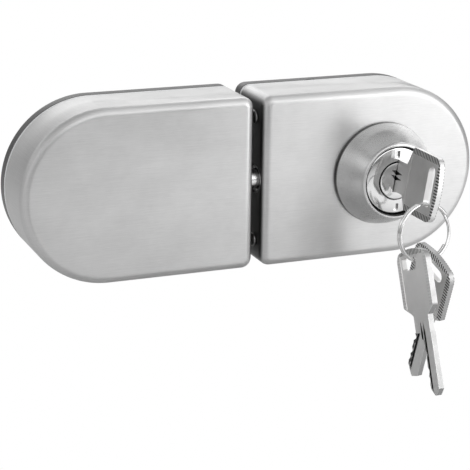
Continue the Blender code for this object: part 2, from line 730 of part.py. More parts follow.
def bolt():
    """Round-ended bolt, stepped back to a flat tail whose fork takes the cam pin."""
    block_start = along(LOCK, BOLT_BLOCK_START)
    block_end = block_start + BOLT_BLOCK_LENGTH
    profile = [
        (BOLT_RADIUS - BOLT_TIP_CHAMFER, BOLT_TIP_X),
        (BOLT_RADIUS, BOLT_TIP_X + BOLT_TIP_CHAMFER),
        (BOLT_RADIUS, block_start + BOLT_BLOCK_LENGTH / 2),
    ]
    item = place("bolt", turned_x(profile, BOLT_Y, 0.0), polished_chrome(), (BOLT_TIP_X, BOLT_Y, 0.0))

    block = box(block_start, block_end, BOLT_Y - BOLT_RADIUS, TAIL_REAR_Y - TAIL_THICKNESS / 2,
                -BOLT_RADIUS, BOLT_RADIUS)
    combine(item, tool("bolt_block", block), "UNION")

    fork = arc(PIN_X, FORK_TOP, FORK_HALF_WIDTH, math.pi, 0.0, FILLET_STEPS * 2)
    flag_end = PIN_X + FORK_HALF_WIDTH + FLAG_END_WALL
    outline = [
        (block_start, -TAIL_HALF_WIDTH), (-TAIL_END, -TAIL_HALF_WIDTH), (-TAIL_END, FLAG_FOOT),
        (PIN_X - FORK_HALF_WIDTH, FLAG_FOOT),
    ]
    outline += fork
    outline += [
        (PIN_X + FORK_HALF_WIDTH, FLAG_FOOT), (flag_end, FLAG_FOOT), (flag_end, FLAG_TOP),
        (-FLAG_START, FLAG_TOP), (-FLAG_START, TAIL_HALF_WIDTH), (block_start, TAIL_HALF_WIDTH),
    ]
    tail = loft([plane_loop(outline, TAIL_FRONT_Y), plane_loop(outline, TAIL_REAR_Y)])
    combine(item, tool("bolt_tail", tail), "UNION")


def rose():
    """Conical rose: straight edge, slightly full flank, rounded lip and a bore for the head."""
    base_y = COVER_FACE_Y - SEAT_GAP
    edge_y = base_y - ROSE_EDGE
    lip_y = COVER_FACE_Y - ROSE_HEIGHT
    bore = HEAD_RADIUS + SEAT_GAP
    flank_end_y = lip_y + ROSE_LIP_ROUND
    profile = [(ROSE_BASE_RADIUS, base_y)]
    steps = FILLET_STEPS + 1
    for i in range(steps + 1):
        t = i / steps
        r = ROSE_BASE_RADIUS + (ROSE_LIP_RADIUS - ROSE_BASE_RADIUS) * t + ROSE_BULGE * math.sin(math.pi * t)
        profile.append((r, edge_y + (flank_end_y - edge_y) * t))
    for i in range(1, FILLET_STEPS + 1):
        a = math.pi / 2 * i / FILLET_STEPS
        r = ROSE_LIP_RADIUS - ROSE_LIP_ROUND * (1.0 - math.cos(a))
        profile.append((r, flank_end_y - ROSE_LIP_ROUND * math.sin(a)))
    profile += [
        (bore, HEAD_FRONT_Y - ROSE_LIP_ROUND / 2),
        (bore, COVER_FACE_Y - HEAD_SHOULDER + SEAT_GAP),
        (BARREL_RADIUS + SEAT_GAP, COVER_FACE_Y - HEAD_SHOULDER + SEAT_GAP),
        (BARREL_RADIUS + SEAT_GAP, base_y),
    ]
    place("lock_rose", turned_y(profile, ring=True), satin_steel(), (0.0, base_y, 0.0))


def cylinder_housing():
    """Cylinder body: round head, barrel with two flats, bore for the plug."""
    bore = PLUG_RADIUS + RUN_GAP
    shoulder_y = COVER_FACE_Y - HEAD_SHOULDER
    profile = [
        (bore, BARREL_REAR_Y), (bore, HEAD_FRONT_Y),
        (HEAD_RADIUS - HEAD_CHAMFER, HEAD_FRONT_Y), (HEAD_RADIUS, HEAD_FRONT_Y + HEAD_CHAMFER),
        (HEAD_RADIUS, shoulder_y), (BARREL_RADIUS, shoulder_y), (BARREL_RADIUS, BARREL_REAR_Y),
    ]
    item = place("cylinder_housing", turned_y(profile, ring=True), polished_chrome(), (0.0, HEAD_FRONT_Y, 0.0))
    cuts = []
    for side in (1.0, -1.0):
        near = side * BARREL_FLAT
        far = side * (BARREL_RADIUS + CUT_MARGIN)
        cuts.append(box(min(near, far), max(near, far), COVER_FACE_Y - SEAT_GAP, BARREL_REAR_Y + CUT_MARGIN,
                        -BARREL_RADIUS, BARREL_RADIUS))
        low = side * SPANNER_SLOT_INNER
        high = side * SPANNER_SLOT_OUTER
        cuts.append(box(-SPANNER_SLOT_WIDTH / 2, SPANNER_SLOT_WIDTH / 2, HEAD_FRONT_Y - CUT_MARGIN,
                        HEAD_FRONT_Y + SPANNER_SLOT_DEPTH, min(low, high), max(low, high)))
    combine(item, tool("cylinder_flats", merge(cuts)), "DIFFERENCE")


def barrel_hole():
    """Hole in the cover's face that the barrel's flats key into."""
    radius = BARREL_RADIUS + SEAT_GAP
    flat = BARREL_FLAT + SEAT_GAP
    outline = []
    for a in angles(FINE_STEPS):
        x = radius * math.cos(a)
        outline.append((max(-flat, min(flat, x)), radius * math.sin(a)))
    return loft([plane_loop(outline, COVER_FACE_Y - CUT_MARGIN), plane_loop(outline, COVER_INNER_Y + CUT_MARGIN)])


def cylinder_nut():
    """Hexagon nut that draws the cylinder and the rose against the cover."""
    front = COVER_INNER_Y + SEAT_GAP
    rear = front + NUT_THICKNESS
    apothem = NUT_ACROSS_FLATS / 2
    hole = BARREL_RADIUS + SEAT_GAP
    loops = [
        circle_y(hole, front, steps=FINE_STEPS),
        polygon_y(6, apothem, front, steps=FINE_STEPS),
        polygon_y(6, apothem, rear, steps=FINE_STEPS),
        circle_y(hole, rear, steps=FINE_STEPS),
    ]
    place("cylinder_nut", loft(loops, ring=True), screw_steel(), (0.0, front, 0.0))


def plug(parent):
    """Turned plug with a keyway, a clip groove and a square tenon for the cam."""
    groove = PLUG_RADIUS - GROOVE_DEPTH
    hole = CAM_SCREW_RADIUS + SEAT_GAP
    hole_end = CAM_REAR_Y + SEAT_GAP - CAM_SCREW_LENGTH - SEAT_GAP
    square = polygon_y(4, TENON_HALF, PLUG_REAR_Y, steps=MEDIUM_STEPS)
    square_end = polygon_y(4, TENON_HALF, TENON_REAR_Y, steps=MEDIUM_STEPS)
    profile = [
        (PLUG_RADIUS - PLUG_CHAMFER, PLUG_FRONT_Y), (PLUG_RADIUS, PLUG_FRONT_Y + PLUG_CHAMFER),
        (PLUG_RADIUS, GROOVE_FRONT_Y), (groove, GROOVE_FRONT_Y),
        (groove, GROOVE_REAR_Y), (PLUG_RADIUS, GROOVE_REAR_Y), (PLUG_RADIUS, PLUG_REAR_Y),
    ]
    loops = [circle_y(r, y, steps=MEDIUM_STEPS) for r, y in profile]
    loops += [square, square_end]
    loops += [circle_y(hole, TENON_REAR_Y, steps=MEDIUM_STEPS), circle_y(hole, hole_end, steps=MEDIUM_STEPS)]
    item = place("cylinder_plug", loft(loops), polished_chrome(), (0.0, PLUG_FRONT_Y, 0.0), parent)

    half_slot = KEY_THICKNESS / 2 + SEAT_GAP
    half_height = BLADE_HEIGHT / 2 + SEAT_GAP
    keyway = box(-half_slot, half_slot, PLUG_FRONT_Y - CUT_MARGIN, KEYWAY_END_Y, -half_height, half_height)
    turn = Matrix.Rotation(KEY_LEAN, 3, "Y")
    bmesh.ops.rotate(keyway, cent=(0.0, 0.0, 0.0), matrix=turn, verts=keyway.verts)
    combine(item, tool("keyway", keyway), "DIFFERENCE")


def plug_clip(parent):
    """Open spring clip in the plug's groove, behind the housing."""
    inner = PLUG_RADIUS - GROOVE_DEPTH + SEAT_GAP
    front = BARREL_REAR_Y + SEAT_GAP
    rear = front + CLIP_THICKNESS
    loops = []
    sweep = 2.0 * math.pi - CLIP_GAP_ANGLE
    for i in range(MEDIUM_STEPS + 1):
        a = math.pi / 2 + CLIP_GAP_ANGLE / 2 + sweep * i / MEDIUM_STEPS
        c = math.cos(a)
        s = math.sin(a)
        corners = [(inner, front), (CLIP_RADIUS, front), (CLIP_RADIUS, rear), (inner, rear)]
        loops.append([Vector((r * c, y, r * s)) for r, y in corners])
    place("plug_clip", loft(loops), screw_steel(), (0.0, front, 0.0), parent)


def cam(parent):
    """Cam plate with its drive pin, held on the plug's square tenon."""
    outline = []
    lean = math.pi / 2 + CAM_START
    open_angle = math.acos((CAM_HUB_RADIUS - CAM_ARM_RADIUS) / CAM_RADIUS)
    outline += arc(PIN_X, PIN_Z, CAM_ARM_RADIUS, lean - open_angle, lean + open_angle, FILLET_STEPS * 2)
    outline += arc(0.0, 0.0, CAM_HUB_RADIUS, lean + open_angle, lean - open_angle + 2.0 * math.pi, SMALL_STEPS)
    plate = loft([plane_loop(outline, CAM_FRONT_Y), plane_loop(outline, CAM_REAR_Y)])
    item = place("cylinder_cam", plate, screw_steel(), (0.0, CAM_FRONT_Y, 0.0), parent)
    pin = rod_y(CAM_PIN_RADIUS, CAM_FRONT_Y + CAM_THICKNESS / 2, CAM_PIN_END_Y, PIN_X, PIN_Z)
    combine(item, tool("cam_pin", pin), "UNION")
    half = TENON_HALF + SEAT_GAP
    y0 = CAM_FRONT_Y - CUT_MARGIN
    y1 = CAM_REAR_Y + CUT_MARGIN
    tenon = loft([polygon_y(4, half, y0, steps=MEDIUM_STEPS), polygon_y(4, half, y1, steps=MEDIUM_STEPS)])
    combine(item, tool("cam_square", tenon), "DIFFERENCE")


def cam_screw(parent):
    """Pan-headed screw that holds the cam on its tenon."""
    seat = CAM_REAR_Y + SEAT_GAP
    top = seat + CAM_SCREW_HEAD_HEIGHT
    profile = [
        (CAM_SCREW_RADIUS, seat - CAM_SCREW_LENGTH), (CAM_SCREW_RADIUS, seat),
        (CAM_SCREW_HEAD, seat), (CAM_SCREW_HEAD, top - SEAT_GAP), (CAM_SCREW_HEAD - SEAT_GAP, top),
    ]
    place("cam_screw", turned_y(profile, steps=SMALL_STEPS), screw_steel(), (0.0, seat, 0.0), parent)


def blade_edge():
    """The blade's upper edge from shoulder to tip, with its bitting."""
    top = BLADE_HEIGHT / 2
    points = [(0.0, top), (BITTING_START - BITTING_PITCH / 2, top)]
    for i, depth in enumerate(BITTING):
        y = BITTING_START + i * BITTING_PITCH
        points.append((y, top - depth))
        points.append((y + BITTING_PITCH * BITTING_FLAT, top - depth))
        points.append((y + BITTING_PITCH * BITTING_CREST, top - min(BITTING) / 2))
    points.append((BLADE_LENGTH - BLADE_TIP, top - min(BITTING)))
    return points


def key_outline():
    """Outline of a key in its own frame: blade to +Y, bow to -Y, across is Z."""
    low = -BLADE_HEIGHT / 2
    bow_top = BOW_RISE + BOW_WIDTH / 2
    bow_low = BOW_RISE - BOW_WIDTH / 2
    neck_top = NECK_RISE + NECK_HEIGHT / 2
    neck_low = NECK_RISE - NECK_HEIGHT / 2
    shoulder_y = BOW_INNER_Y - BOW_SHOULDER
    corner_y = BOW_END_Y + BOW_CROWN + BOW_OUTER_RADIUS
    quarter = math.pi / 2
    r_out = BOW_OUTER_RADIUS
    r_in = BOW_INNER_RADIUS
    points = blade_edge()
    points += [(BLADE_LENGTH, BLADE_TIP / 2), (BLADE_LENGTH, -BLADE_TIP / 2), (BLADE_LENGTH - BLADE_TIP, low)]
    points += [(0.0, low), (0.0, neck_low), (BOW_INNER_Y, neck_low)]
    points += arc(shoulder_y - r_in, bow_low + r_in, r_in, -quarter / 2, -quarter, FILLET_STEPS)
    points += arc(corner_y, bow_low + r_out, r_out, -quarter, -2 * quarter, FILLET_STEPS)
    for i in range(1, FILLET_STEPS):
        t = i / FILLET_STEPS
        z = bow_low + r_out + (BOW_WIDTH - 2 * r_out) * t
        points.append((BOW_END_Y + BOW_CROWN * (2.0 * t - 1.0) ** 2, z))
    points += arc(corner_y, bow_top - r_out, r_out, 2 * quarter, quarter, FILLET_STEPS)
    points += arc(shoulder_y - r_in, bow_top - r_in, r_in, quarter, quarter / 2, FILLET_STEPS)
    points += [(BOW_INNER_Y, neck_top), (0.0, neck_top)]
    return points


def side_plate(outline, x0, x1):
    """Extrude an outline of (y, z) points along X."""
    return loft([[Vector((x, y, z)) for y, z in outline] for x in (x0, x1)])


def slot_outline(slot):
    """Long hole near the bow's end, with rounded corners or round ends."""
    length, rise, from_end, r = slot
    y = BOW_END_Y + from_end
    side = SLOT_WIDTH / 2 - r
    low = rise - length / 2 + r
    high = rise + length / 2 - r
    quarter = math.pi / 2
    corners = [(y - side, low, 2), (y + side, low, 3), (y + side, high, 0), (y - side, high, 1)]
    points = []
    for cy, cz, turn in corners:
        points += arc(cy, cz, r, turn * quarter, (turn + 1) * quarter, FILLET_STEPS)
    return drop_repeats(points)


def drop_repeats(points):
    """Leave out each point that lies on the one before it, round a closed outline."""
    kept = []
    for before, point in zip([points[-1]] + points[:-1], points):
        if math.dist(before, point) > SAME_POINT:
            kept.append(point)
    return kept


def key_tools(slot):
    """Cutters for the bow's slot and sunk panel and for the blade's two grooves."""
    half = KEY_THICKNESS / 2
    out = half + CUT_MARGIN
    hole = side_plate(slot_outline(slot), -out, out)
    panel_low = BOW_RISE - BOW_WIDTH / 2 + PANEL_BORDER
    panel_high = BOW_RISE + BOW_WIDTH / 2 - PANEL_BORDER
    panel_end = BOW_END_Y + PANEL_BORDER
    panel_start = BOW_INNER_Y - PANEL_BORDER
    panel = box(-out, PANEL_DEPTH - half, panel_end, panel_start, panel_low, panel_high)
    grooves = []
    middle = -BLADE_GROOVE_RISE
    for side in (1.0, -1.0):
        floor = side * (half - BLADE_GROOVE_DEPTH)
        grooves.append(box(min(floor, side * out), max(floor, side * out), BLADE_GROOVE_WIDTH,
                           BLADE_LENGTH + CUT_MARGIN, middle - BLADE_GROOVE_WIDTH / 2,
                           middle + BLADE_GROOVE_WIDTH / 2))
    return [tool("key_slot", hole), tool("key_panel", panel), tool("key_grooves", merge(grooves))]


def key(name, slot, parent, matrix):
    """A key cut from a flat blank, set in its place in the world."""
    half = KEY_THICKNESS / 2
    item = place(name, side_plate(key_outline(), -half, half), key_nickel())
    tools = key_tools(slot)
    for cutter in tools:
        cutter.name = name + "_" + cutter.name
        combine(item, cutter, "DIFFERENCE")
        attach(cutter, parent, matrix)
    attach(item, parent, matrix)


def attach(item, parent, matrix):
    """Parent an object and leave it where a world matrix puts it."""
    bpy.context.view_layer.update()
    item.parent = parent
    item.matrix_local = parent.matrix_world.inverted() @ matrix


def ring_point(angle, aside=0.0):
    """A point of the ring's centre line in the ring's own frame, whose top is its origin."""
    reach = RING_RADIUS
    return Vector((reach * math.sin(angle), aside, -reach - reach * math.cos(angle)))


def split_ring(parent, matrix):
    """Two turns of wire side by side, with the jog between them at one place."""
    middle = Vector((0.0, 0.0, -RING_RADIUS))
    side = Vector((0.0, 1.0, 0.0))
    loops = []
    steps = 2 * RING_STEPS
    start = RING_JOG
    end = 2.0 - RING_JOG
    for i in range(steps + 1):
        t = start + (end - start) * i / steps
        ramp = max(-1.0, min(1.0, (t - 1.0) / RING_JOG))
        centre = ring_point(RING_JOG_AT + 2.0 * math.pi * t, RING_PITCH / 2 * math.sin(ramp * math.pi / 2))
        outward = centre - middle
        outward.y = 0.0
        outward.normalize()
        turns = [outward * math.cos(a) + side * math.sin(a) for a in angles(WIRE_SIDES)]
        loops.append([centre + way * RING_WIRE / 2 for way in turns])
    item = place("key_ring", loft(loops), screw_steel())
    attach(item, parent, matrix)


def hanging_key(name, slot, at, hold, lean, ring, ring_matrix):
    """A key that hangs by its slot from a point of the ring."""
    below_edge, across = hold
    crossing = ring_matrix @ ring_point(at)
    seat = pivot(name + "_seat", (0.0, 0.0, 0.0))
    swing = Matrix.Translation(crossing) @ Euler(lean).to_matrix().to_4x4()
    attach(seat, ring, swing)
    held = Vector((0.0, BOW_END_Y + slot[2] - SLOT_WIDTH / 2 + below_edge, across))
    bow_up = Matrix.Rotation(-math.pi / 2, 4, "X")
    key(name, slot, seat, swing @ bow_up @ Matrix.Translation(-held))


def keys_and_ring(plug_pivot):
    """The key in the plug, the split ring through its bow and the two keys on the ring."""
    in_plug = Matrix.Translation((0.0, KEY_SHOULDER_Y, 0.0)) @ Matrix.Rotation(KEY_LEAN, 4, "Y")
    key("key_in_lock", LONG_SLOT, plug_pivot, in_plug)

    ring = pivot("ring_seat", (0.0, 0.0, 0.0))
    seat = in_plug @ Vector((0.0, BOW_END_Y + LONG_SLOT[2], RING_SEAT_Z))
    ring_matrix = Matrix.Translation(seat) @ Euler((RING_SWING, KEY_LEAN, RING_TURN)).to_matrix().to_4x4()
    attach(ring, plug_pivot, ring_matrix)
    split_ring(ring, ring_matrix)
    hanging_key("hanging_key_front", SHORT_SLOT, FRONT_KEY_AT, FRONT_KEY_HOLD, FRONT_KEY_LEAN, ring, ring_matrix)
    hanging_key("hanging_key_rear", LONG_SLOT, REAR_KEY_AT, REAR_KEY_HOLD, REAR_KEY_LEAN, ring, ring_matrix)


def rim_notch():
    """A notch in the strike cover's rim, at the middle of the round end."""
    inner = STRIKE_OUT_X + COVER_WALL + CUT_MARGIN
    outer = STRIKE_OUT_X - CUT_MARGIN
    middle = -NOTCH_DROP
    return tool("rim_notch", box(outer, inner, COVER_RIM_Y + CUT_MARGIN, COVER_RIM_Y - NOTCH_DEPTH,
                                 middle - NOTCH_LENGTH / 2, middle + NOTCH_LENGTH / 2))


def back_notch():
    """A notch in the front rim of the lock half's back cover, on top."""
    x = along(LOCK, BACK_NOTCH_SETBACK)
    top = HALF_HEIGHT / 2
    return tool("back_notch", box(x - BACK_NOTCH_LENGTH / 2, x + BACK_NOTCH_LENGTH / 2,
                                  BACK_RIM_Y - CUT_MARGIN, BACK_RIM_Y + NOTCH_DEPTH,
                                  top - BACK_WALL - CUT_MARGIN, top + CUT_MARGIN))


def build():
    clear_scene()

    guide_holes = tool("guide_screw_holes", guide_screw_holes())
    lock_cuts = [tool("barrel_hole", barrel_hole())]
    _, lock_back = half_common("lock", LOCK, bolt_guides(), lock_cuts)
    combine(bpy.data.objects["lock_chassis"], guide_holes, "DIFFERENCE")
    combine(lock_back, back_notch(), "DIFFERENCE")
    half_common("strike", STRIKE, [], [rim_notch()])
    bush("bolt_bush", LOCK, BUSH_BORE)
    bush("strike_bush", STRIKE, BUSH_BORE + STRIKE_EASE)

    rose()
    cylinder_housing()
    cylinder_nut()
    bolt_guide(guide_holes)
    guide_screw("guide_screw_upper", 1.0)
    guide_screw("guide_screw_lower", -1.0)
    bolt()

    plug_pivot = pivot("plug_axis", (0.0, PLUG_FRONT_Y, 0.0))
    plug(plug_pivot)
    plug_clip(plug_pivot)
    cam(plug_pivot)
    cam_screw(plug_pivot)
    keys_and_ring(plug_pivot)


build()
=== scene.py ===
# %% [markdown]
# A half-round lock for two glass doors, dressed for a studio picture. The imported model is
# the fixed frame. Every piece that shows gets a smooth surface of its own here, worked out
# from the same sizes, and the pieces that are closed in keep their solids.

import math

import bmesh
import bpy
import numpy as np
from mathutils import Euler, Matrix, Vector


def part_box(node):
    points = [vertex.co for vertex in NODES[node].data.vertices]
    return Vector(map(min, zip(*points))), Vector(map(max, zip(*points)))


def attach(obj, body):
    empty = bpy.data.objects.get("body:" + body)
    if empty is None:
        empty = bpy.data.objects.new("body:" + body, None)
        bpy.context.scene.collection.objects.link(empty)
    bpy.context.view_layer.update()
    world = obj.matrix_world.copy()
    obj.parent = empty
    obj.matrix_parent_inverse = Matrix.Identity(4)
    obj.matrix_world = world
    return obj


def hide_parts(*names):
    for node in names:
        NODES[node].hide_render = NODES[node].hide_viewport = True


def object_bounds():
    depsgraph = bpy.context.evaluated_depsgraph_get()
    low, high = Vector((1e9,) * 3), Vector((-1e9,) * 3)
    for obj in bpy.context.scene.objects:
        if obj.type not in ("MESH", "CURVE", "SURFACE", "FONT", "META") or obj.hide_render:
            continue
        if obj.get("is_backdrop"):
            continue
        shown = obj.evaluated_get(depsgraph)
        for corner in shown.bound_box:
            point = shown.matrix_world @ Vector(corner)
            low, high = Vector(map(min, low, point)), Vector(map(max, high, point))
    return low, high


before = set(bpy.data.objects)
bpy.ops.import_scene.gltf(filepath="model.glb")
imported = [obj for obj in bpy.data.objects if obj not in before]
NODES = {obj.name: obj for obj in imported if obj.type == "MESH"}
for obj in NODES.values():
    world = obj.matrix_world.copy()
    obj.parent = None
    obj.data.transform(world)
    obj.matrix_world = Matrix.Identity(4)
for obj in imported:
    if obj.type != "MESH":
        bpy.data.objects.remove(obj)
cad_low, cad_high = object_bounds()
MM = 0.001

# %% [markdown]
# Each half is a pressed steel cover and a dark rear cover, with a pale gasket between.
# Their sizes could be typed in again, but then the picture would drift from the solids, so
# they come from the boxes of the nodes. What a box can't tell, such as a fillet or a lean,
# is repeated in millimetres where it is needed.

# %% Sizes
def span(node, axis):
    """Lowest and highest value of a node along an axis."""
    low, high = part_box(node)
    return low[axis], high[axis]


LOCK_X = span("lock_cover", 0)
STRIKE_X = tuple(reversed(span("strike_cover", 0)))
COVER_FACE_Y, COVER_RIM_Y = span("lock_cover", 1)
BACK_RIM_Y, BACK_FACE_Y = span("lock_back_cover", 1)
HALF_LOW, HALF_HIGH = span("lock_cover", 2)
HALF_HEIGHT = HALF_HIGH - HALF_LOW
HALF_LENGTH = LOCK_X[1] - LOCK_X[0]
WALL = 1.2 * MM
SEAT_GAP = 0.3 * MM
BOLT_Y = COVER_FACE_Y + 8.0 * MM
END_SCREW_Z = 24 * MM
CLAMP_WAY_R = 2.8 * MM
BARREL_WAY_R = 11.1 * MM
HEAD_R = span("cylinder_housing", 0)[1]
ROSE_R = span("lock_rose", 0)[1]
QUARTER = np.pi / 2
print("half", round(HALF_LENGTH / MM, 1), "x", round(HALF_HEIGHT / MM, 1), "mm")

# %% [markdown]
# A surface could be pulled into shape by hand from a cube or a cylinder, but a formula keeps
# its edges where the solids have them. Here it is a stack of closed loops with the same
# number of points, put into a mesh as whole arrays. Edges sharper than the limit stay
# crisp, and everything else is shaded smooth.

# %% Surfaces from loops
SHARP = 32.0


def smooth(mesh, sharp=SHARP):
    """Shade a mesh smooth, but keep the edges that turn by more than an angle."""
    mesh.shade_smooth()
    mesh.set_sharp_from_angle(angle=math.radians(sharp))


def mesh_object(name, points, faces, sharp=SHARP):
    """A linked object from points (n, 3) and a list of faces, which are turned outward."""
    mesh = bpy.data.meshes.new(name)
    mesh.from_pydata(np.asarray(points, float).reshape(-1, 3).tolist(), [], faces)
    work = bmesh.new()
    work.from_mesh(mesh)
    bmesh.ops.recalc_face_normals(work, faces=work.faces)
    work.to_mesh(mesh)
    work.free()
    smooth(mesh, sharp)
    item = bpy.data.objects.new(name, mesh)
    bpy.context.scene.collection.objects.link(item)
    return item


def loop_faces(count, size, ring=False, start=0):
    """Quads between neighbouring loops; loop i, place j is point i * size + j."""
    index = np.arange(count * size).reshape(count, size) + start
    first = index if ring else index[:-1]
    second = np.roll(index, -1, 0) if ring else index[1:]
    quads = np.stack([first, np.roll(first, -1, 1), np.roll(second, -1, 1), second], -1)
    faces = quads.reshape(-1, 4).tolist()
    if not ring:
        faces += [index[0].tolist(), index[-1].tolist()]
    return faces


def skin(name, loops, ring=False, sharp=SHARP):
    """Skin over loops (n, m, 3): capped at both ends, or joined end to end as a ring."""
    loops = np.asarray(loops, float)
    return mesh_object(name, loops, loop_faces(*loops.shape[:2], ring), sharp)


def several(name, stacks):
    """Several capped skins in one object: the points of each follow those of the last."""
    stacks = [np.asarray(loops, float) for loops in stacks]
    faces = []
    start = 0
    for loops in stacks:
        faces += loop_faces(*loops.shape[:2], start=start)
        start += loops.shape[0] * loops.shape[1]
    return mesh_object(name, np.concatenate([loops.reshape(-1, 3) for loops in stacks]), faces)


print("edges past", SHARP, "degrees stay sharp")

# %% [markdown]
# Roses, screws and the cylinder are turned parts, so their surfaces are turned as well: a
# profile of radius and place goes round a line. A Screw modifier would do the same, but
# arrays also let a round loop and a hexagon follow each other in one skin.

# %% Turned shapes
def circle(radius, steps):
    """Points (steps, 2) of a circle: r (cos t, sin t)."""
    t = np.linspace(0.0, 2.0 * np.pi, steps, endpoint=False)
    return radius * np.stack([np.cos(t), np.sin(t)], -1)


def laid(flat, place, axis, centre):
    """Loops (n, m, 3) across X or Y: flat points (n, m, 2) plus the centre, loop i at place i."""
    flat = np.asarray(flat, float) + np.asarray(centre, float)
    along_axis = np.broadcast_to(np.asarray(place, float)[:, None], flat.shape[:2])
    across, up = flat[..., 0], flat[..., 1]
    return np.stack((across, along_axis, up) if axis == "Y" else (along_axis, across, up), -1)


def turned_loops(profile, axis, centre, steps):
    """A profile of (radius, place) points turned round a line: loop i is r_i (cos t, sin t)."""
    radius, place = np.array(profile, float).T
    return laid(radius[:, None, None] * circle(1.0, steps), place, axis, centre)


def turned(name, profile, axis, centre, steps=128, ring=False):
    """An object turned round a line along X or Y, capped, or closed in itself as a ring."""
    return skin(name, turned_loops(profile, axis, centre, steps), ring)


def rounded(points, radius, steps=4):
    """Round the corners of an open profile (n, 2) with quadratic curves.

    Corner c becomes (1 - t)^2 a + 2 t (1 - t) c + t^2 b, with a and b on its two sides.
    """
    points = np.array(points, float)
    t = np.linspace(0.0, 1.0, steps + 1)[:, None]
    parts = [points[:1]]
    for before, corner, after in zip(points, points[1:], points[2:]):
        sides = before - corner, after - corner
        reach = min(radius, *(0.45 * np.linalg.norm(side) for side in sides))
        a, b = (corner + side / np.linalg.norm(side) * reach for side in sides)
        parts.append((1 - t) ** 2 * a + 2 * t * (1 - t) * corner + t * t * b)
    return np.concatenate([*parts, points[-1:]])


flat_by = HEAD_R * (1 - math.cos(math.pi / 128))
print("a head turned in 128 steps is", round(flat_by / MM, 4), "mm from round")

# %% [markdown]
# Holes, slots and flats are cut as a maker would cut them, with a tool of the right shape.
# Exact Booleans take longer than fast ones, but leave clean edges on thin walls.

# %% Cutting and handing over
def settle(item, weighted=False):
    """Apply an object's modifiers, so that its mesh holds the finished shape."""
    if weighted:
        item.modifiers.new("weighted", "WEIGHTED_NORMAL").keep_sharp = True
    graph = bpy.context.evaluated_depsgraph_get()
    mesh = bpy.data.meshes.new_from_object(item.evaluated_get(graph))
    item.modifiers.clear()
    item.data = mesh
    if not weighted:
        smooth(mesh)


def boolean(item, tool, operation):
    """Add an exact Boolean modifier that joins a tool to an object or takes it away."""
    step = item.modifiers.new(tool.name, "BOOLEAN")
    step.operation = operation
    step.solver = "EXACT"
    step.object = tool


def cut(item, cutters):
    """Take cutters out of an object, then remove them."""
    for cutter in cutters:
        boolean(item, cutter, "DIFFERENCE")
    settle(item)
    for cutter in cutters:
        bpy.data.objects.remove(cutter, do_unlink=True)


def block(name, low, high):
    """A box between two corners, for cutting with."""
    (x0, y0, z0), (x1, y1, z1) = low, high
    return skin(name, [[(x, y0, z0), (x, y1, z0), (x, y1, z1), (x, y0, z1)] for x in (x0, x1)])


made = []


def done(item, body, nodes, material):
    """Let a piece ride on its body, stand for its nodes and take its finish."""
    item.data.materials.clear()
    item.data.materials.append(material)
    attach(item, body)
    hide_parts(*nodes)
    made.append(item.name)


print("pieces handed over so far", len(made))

# %% [markdown]
# Each metal is a Principled shader whose colour, gloss and height come from noise. Images
# would show seams and end at their borders. Noise on Object coordinates does neither, and
# it stays on the piece when its body moves. What several finishes share is a node group,
# built once, with the same named inputs and outputs for every metal.

# %% Node tools
def gray(value, warm=0.0):
    """A gray as a colour, with a little more red and less blue where it is warm."""
    return (value + warm, value, value - warm, 1.0)


class Graph:
    """Short names for adding and joining the nodes of one tree."""

    def __init__(self, tree, where=None):
        self.tree = tree
        self.where = where

    def node(self, kind, **settings):
        """A new shader node with its settings."""
        item = self.tree.nodes.new("ShaderNode" + kind)
        for key, value in settings.items():
            setattr(item, key, value)
        return item

    def link(self, source, target):
        """Join an output to an input."""
        self.tree.links.new(source, target)

    def put(self, target, value):
        """Join a socket to a target, or set the target to a plain value."""
        if isinstance(value, bpy.types.NodeSocket):
            self.link(value, target)
        else:
            target.default_value = value

    def place(self, location=(0, 0, 0), rotation=(0, 0, 0), scale=(1, 1, 1)):
        """The coordinates that the tree reads, scaled, then turned, then moved."""
        mapping = self.node("Mapping")
        self.link(self.where, mapping.inputs["Vector"])
        for name, value in (("Location", location), ("Rotation", rotation), ("Scale", scale)):
            self.put(mapping.inputs[name], value)
        return mapping.outputs["Vector"]

    def axes(self, vector):
        """The X, Y and Z of a vector."""
        split = self.node("SeparateXYZ")
        self.link(vector, split.inputs[0])
        return split.outputs

    def noise(self, vector, scale=1.0, detail=2.0, roughness=0.5):
        """Soft noise at a vector, from 0 to 1."""
        item = self.node("TexNoise")
        self.link(vector, item.inputs["Vector"])
        for name, value in (("Scale", scale), ("Detail", detail), ("Roughness", roughness)):
            item.inputs[name].default_value = value
        return item.outputs["Fac"]

    def math(self, operation, first, second=0.0):
        """One step of arithmetic on sockets or plain values."""
        item = self.node("Math", operation=operation)
        self.put(item.inputs[0], first)
        self.put(item.inputs[1], second)
        return item.outputs[0]

    def times(self, first, second):
        """First times second."""
        return self.math("MULTIPLY", first, second)

    def plus(self, first, second):
        """First plus second."""
        return self.math("ADD", first, second)

    def spread(self, value, low, high, to_low=0.0, to_high=1.0):
        """Map a value from one range to another, held at the ends."""
        item = self.node("MapRange", clamp=True)
        self.put(item.inputs["Value"], value)
        item.inputs["From Min"].default_value = low
        item.inputs["From Max"].default_value = high
        self.put(item.inputs["To Min"], to_low)
        self.put(item.inputs["To Max"], to_high)
        return item.outputs["Result"]

    def between(self, value, low, high, soft):
        """1 between two limits and 0 outside, with a soft flank past each limit."""
        above = self.spread(value, low - soft, low)
        return self.times(above, self.spread(value, high, high + soft, 1.0, 0.0))

    def blend(self, factor, first, second):
        """Mix of two colours."""
        item = self.node("Mix", data_type="RGBA")
        self.put(item.inputs["Factor"], factor)
        self.put(item.inputs[6], first)
        self.put(item.inputs[7], second)
        return item.outputs[2]


print("a middle gray", gray(0.5))

# %% [markdown]
# Two kinds of tree use these tools. A finish is one piece's material, with its shader. An
# effect is a node group: it holds only the pattern, which each finish places with its own
# tones. Without it the same nodes would be built again for every metal.

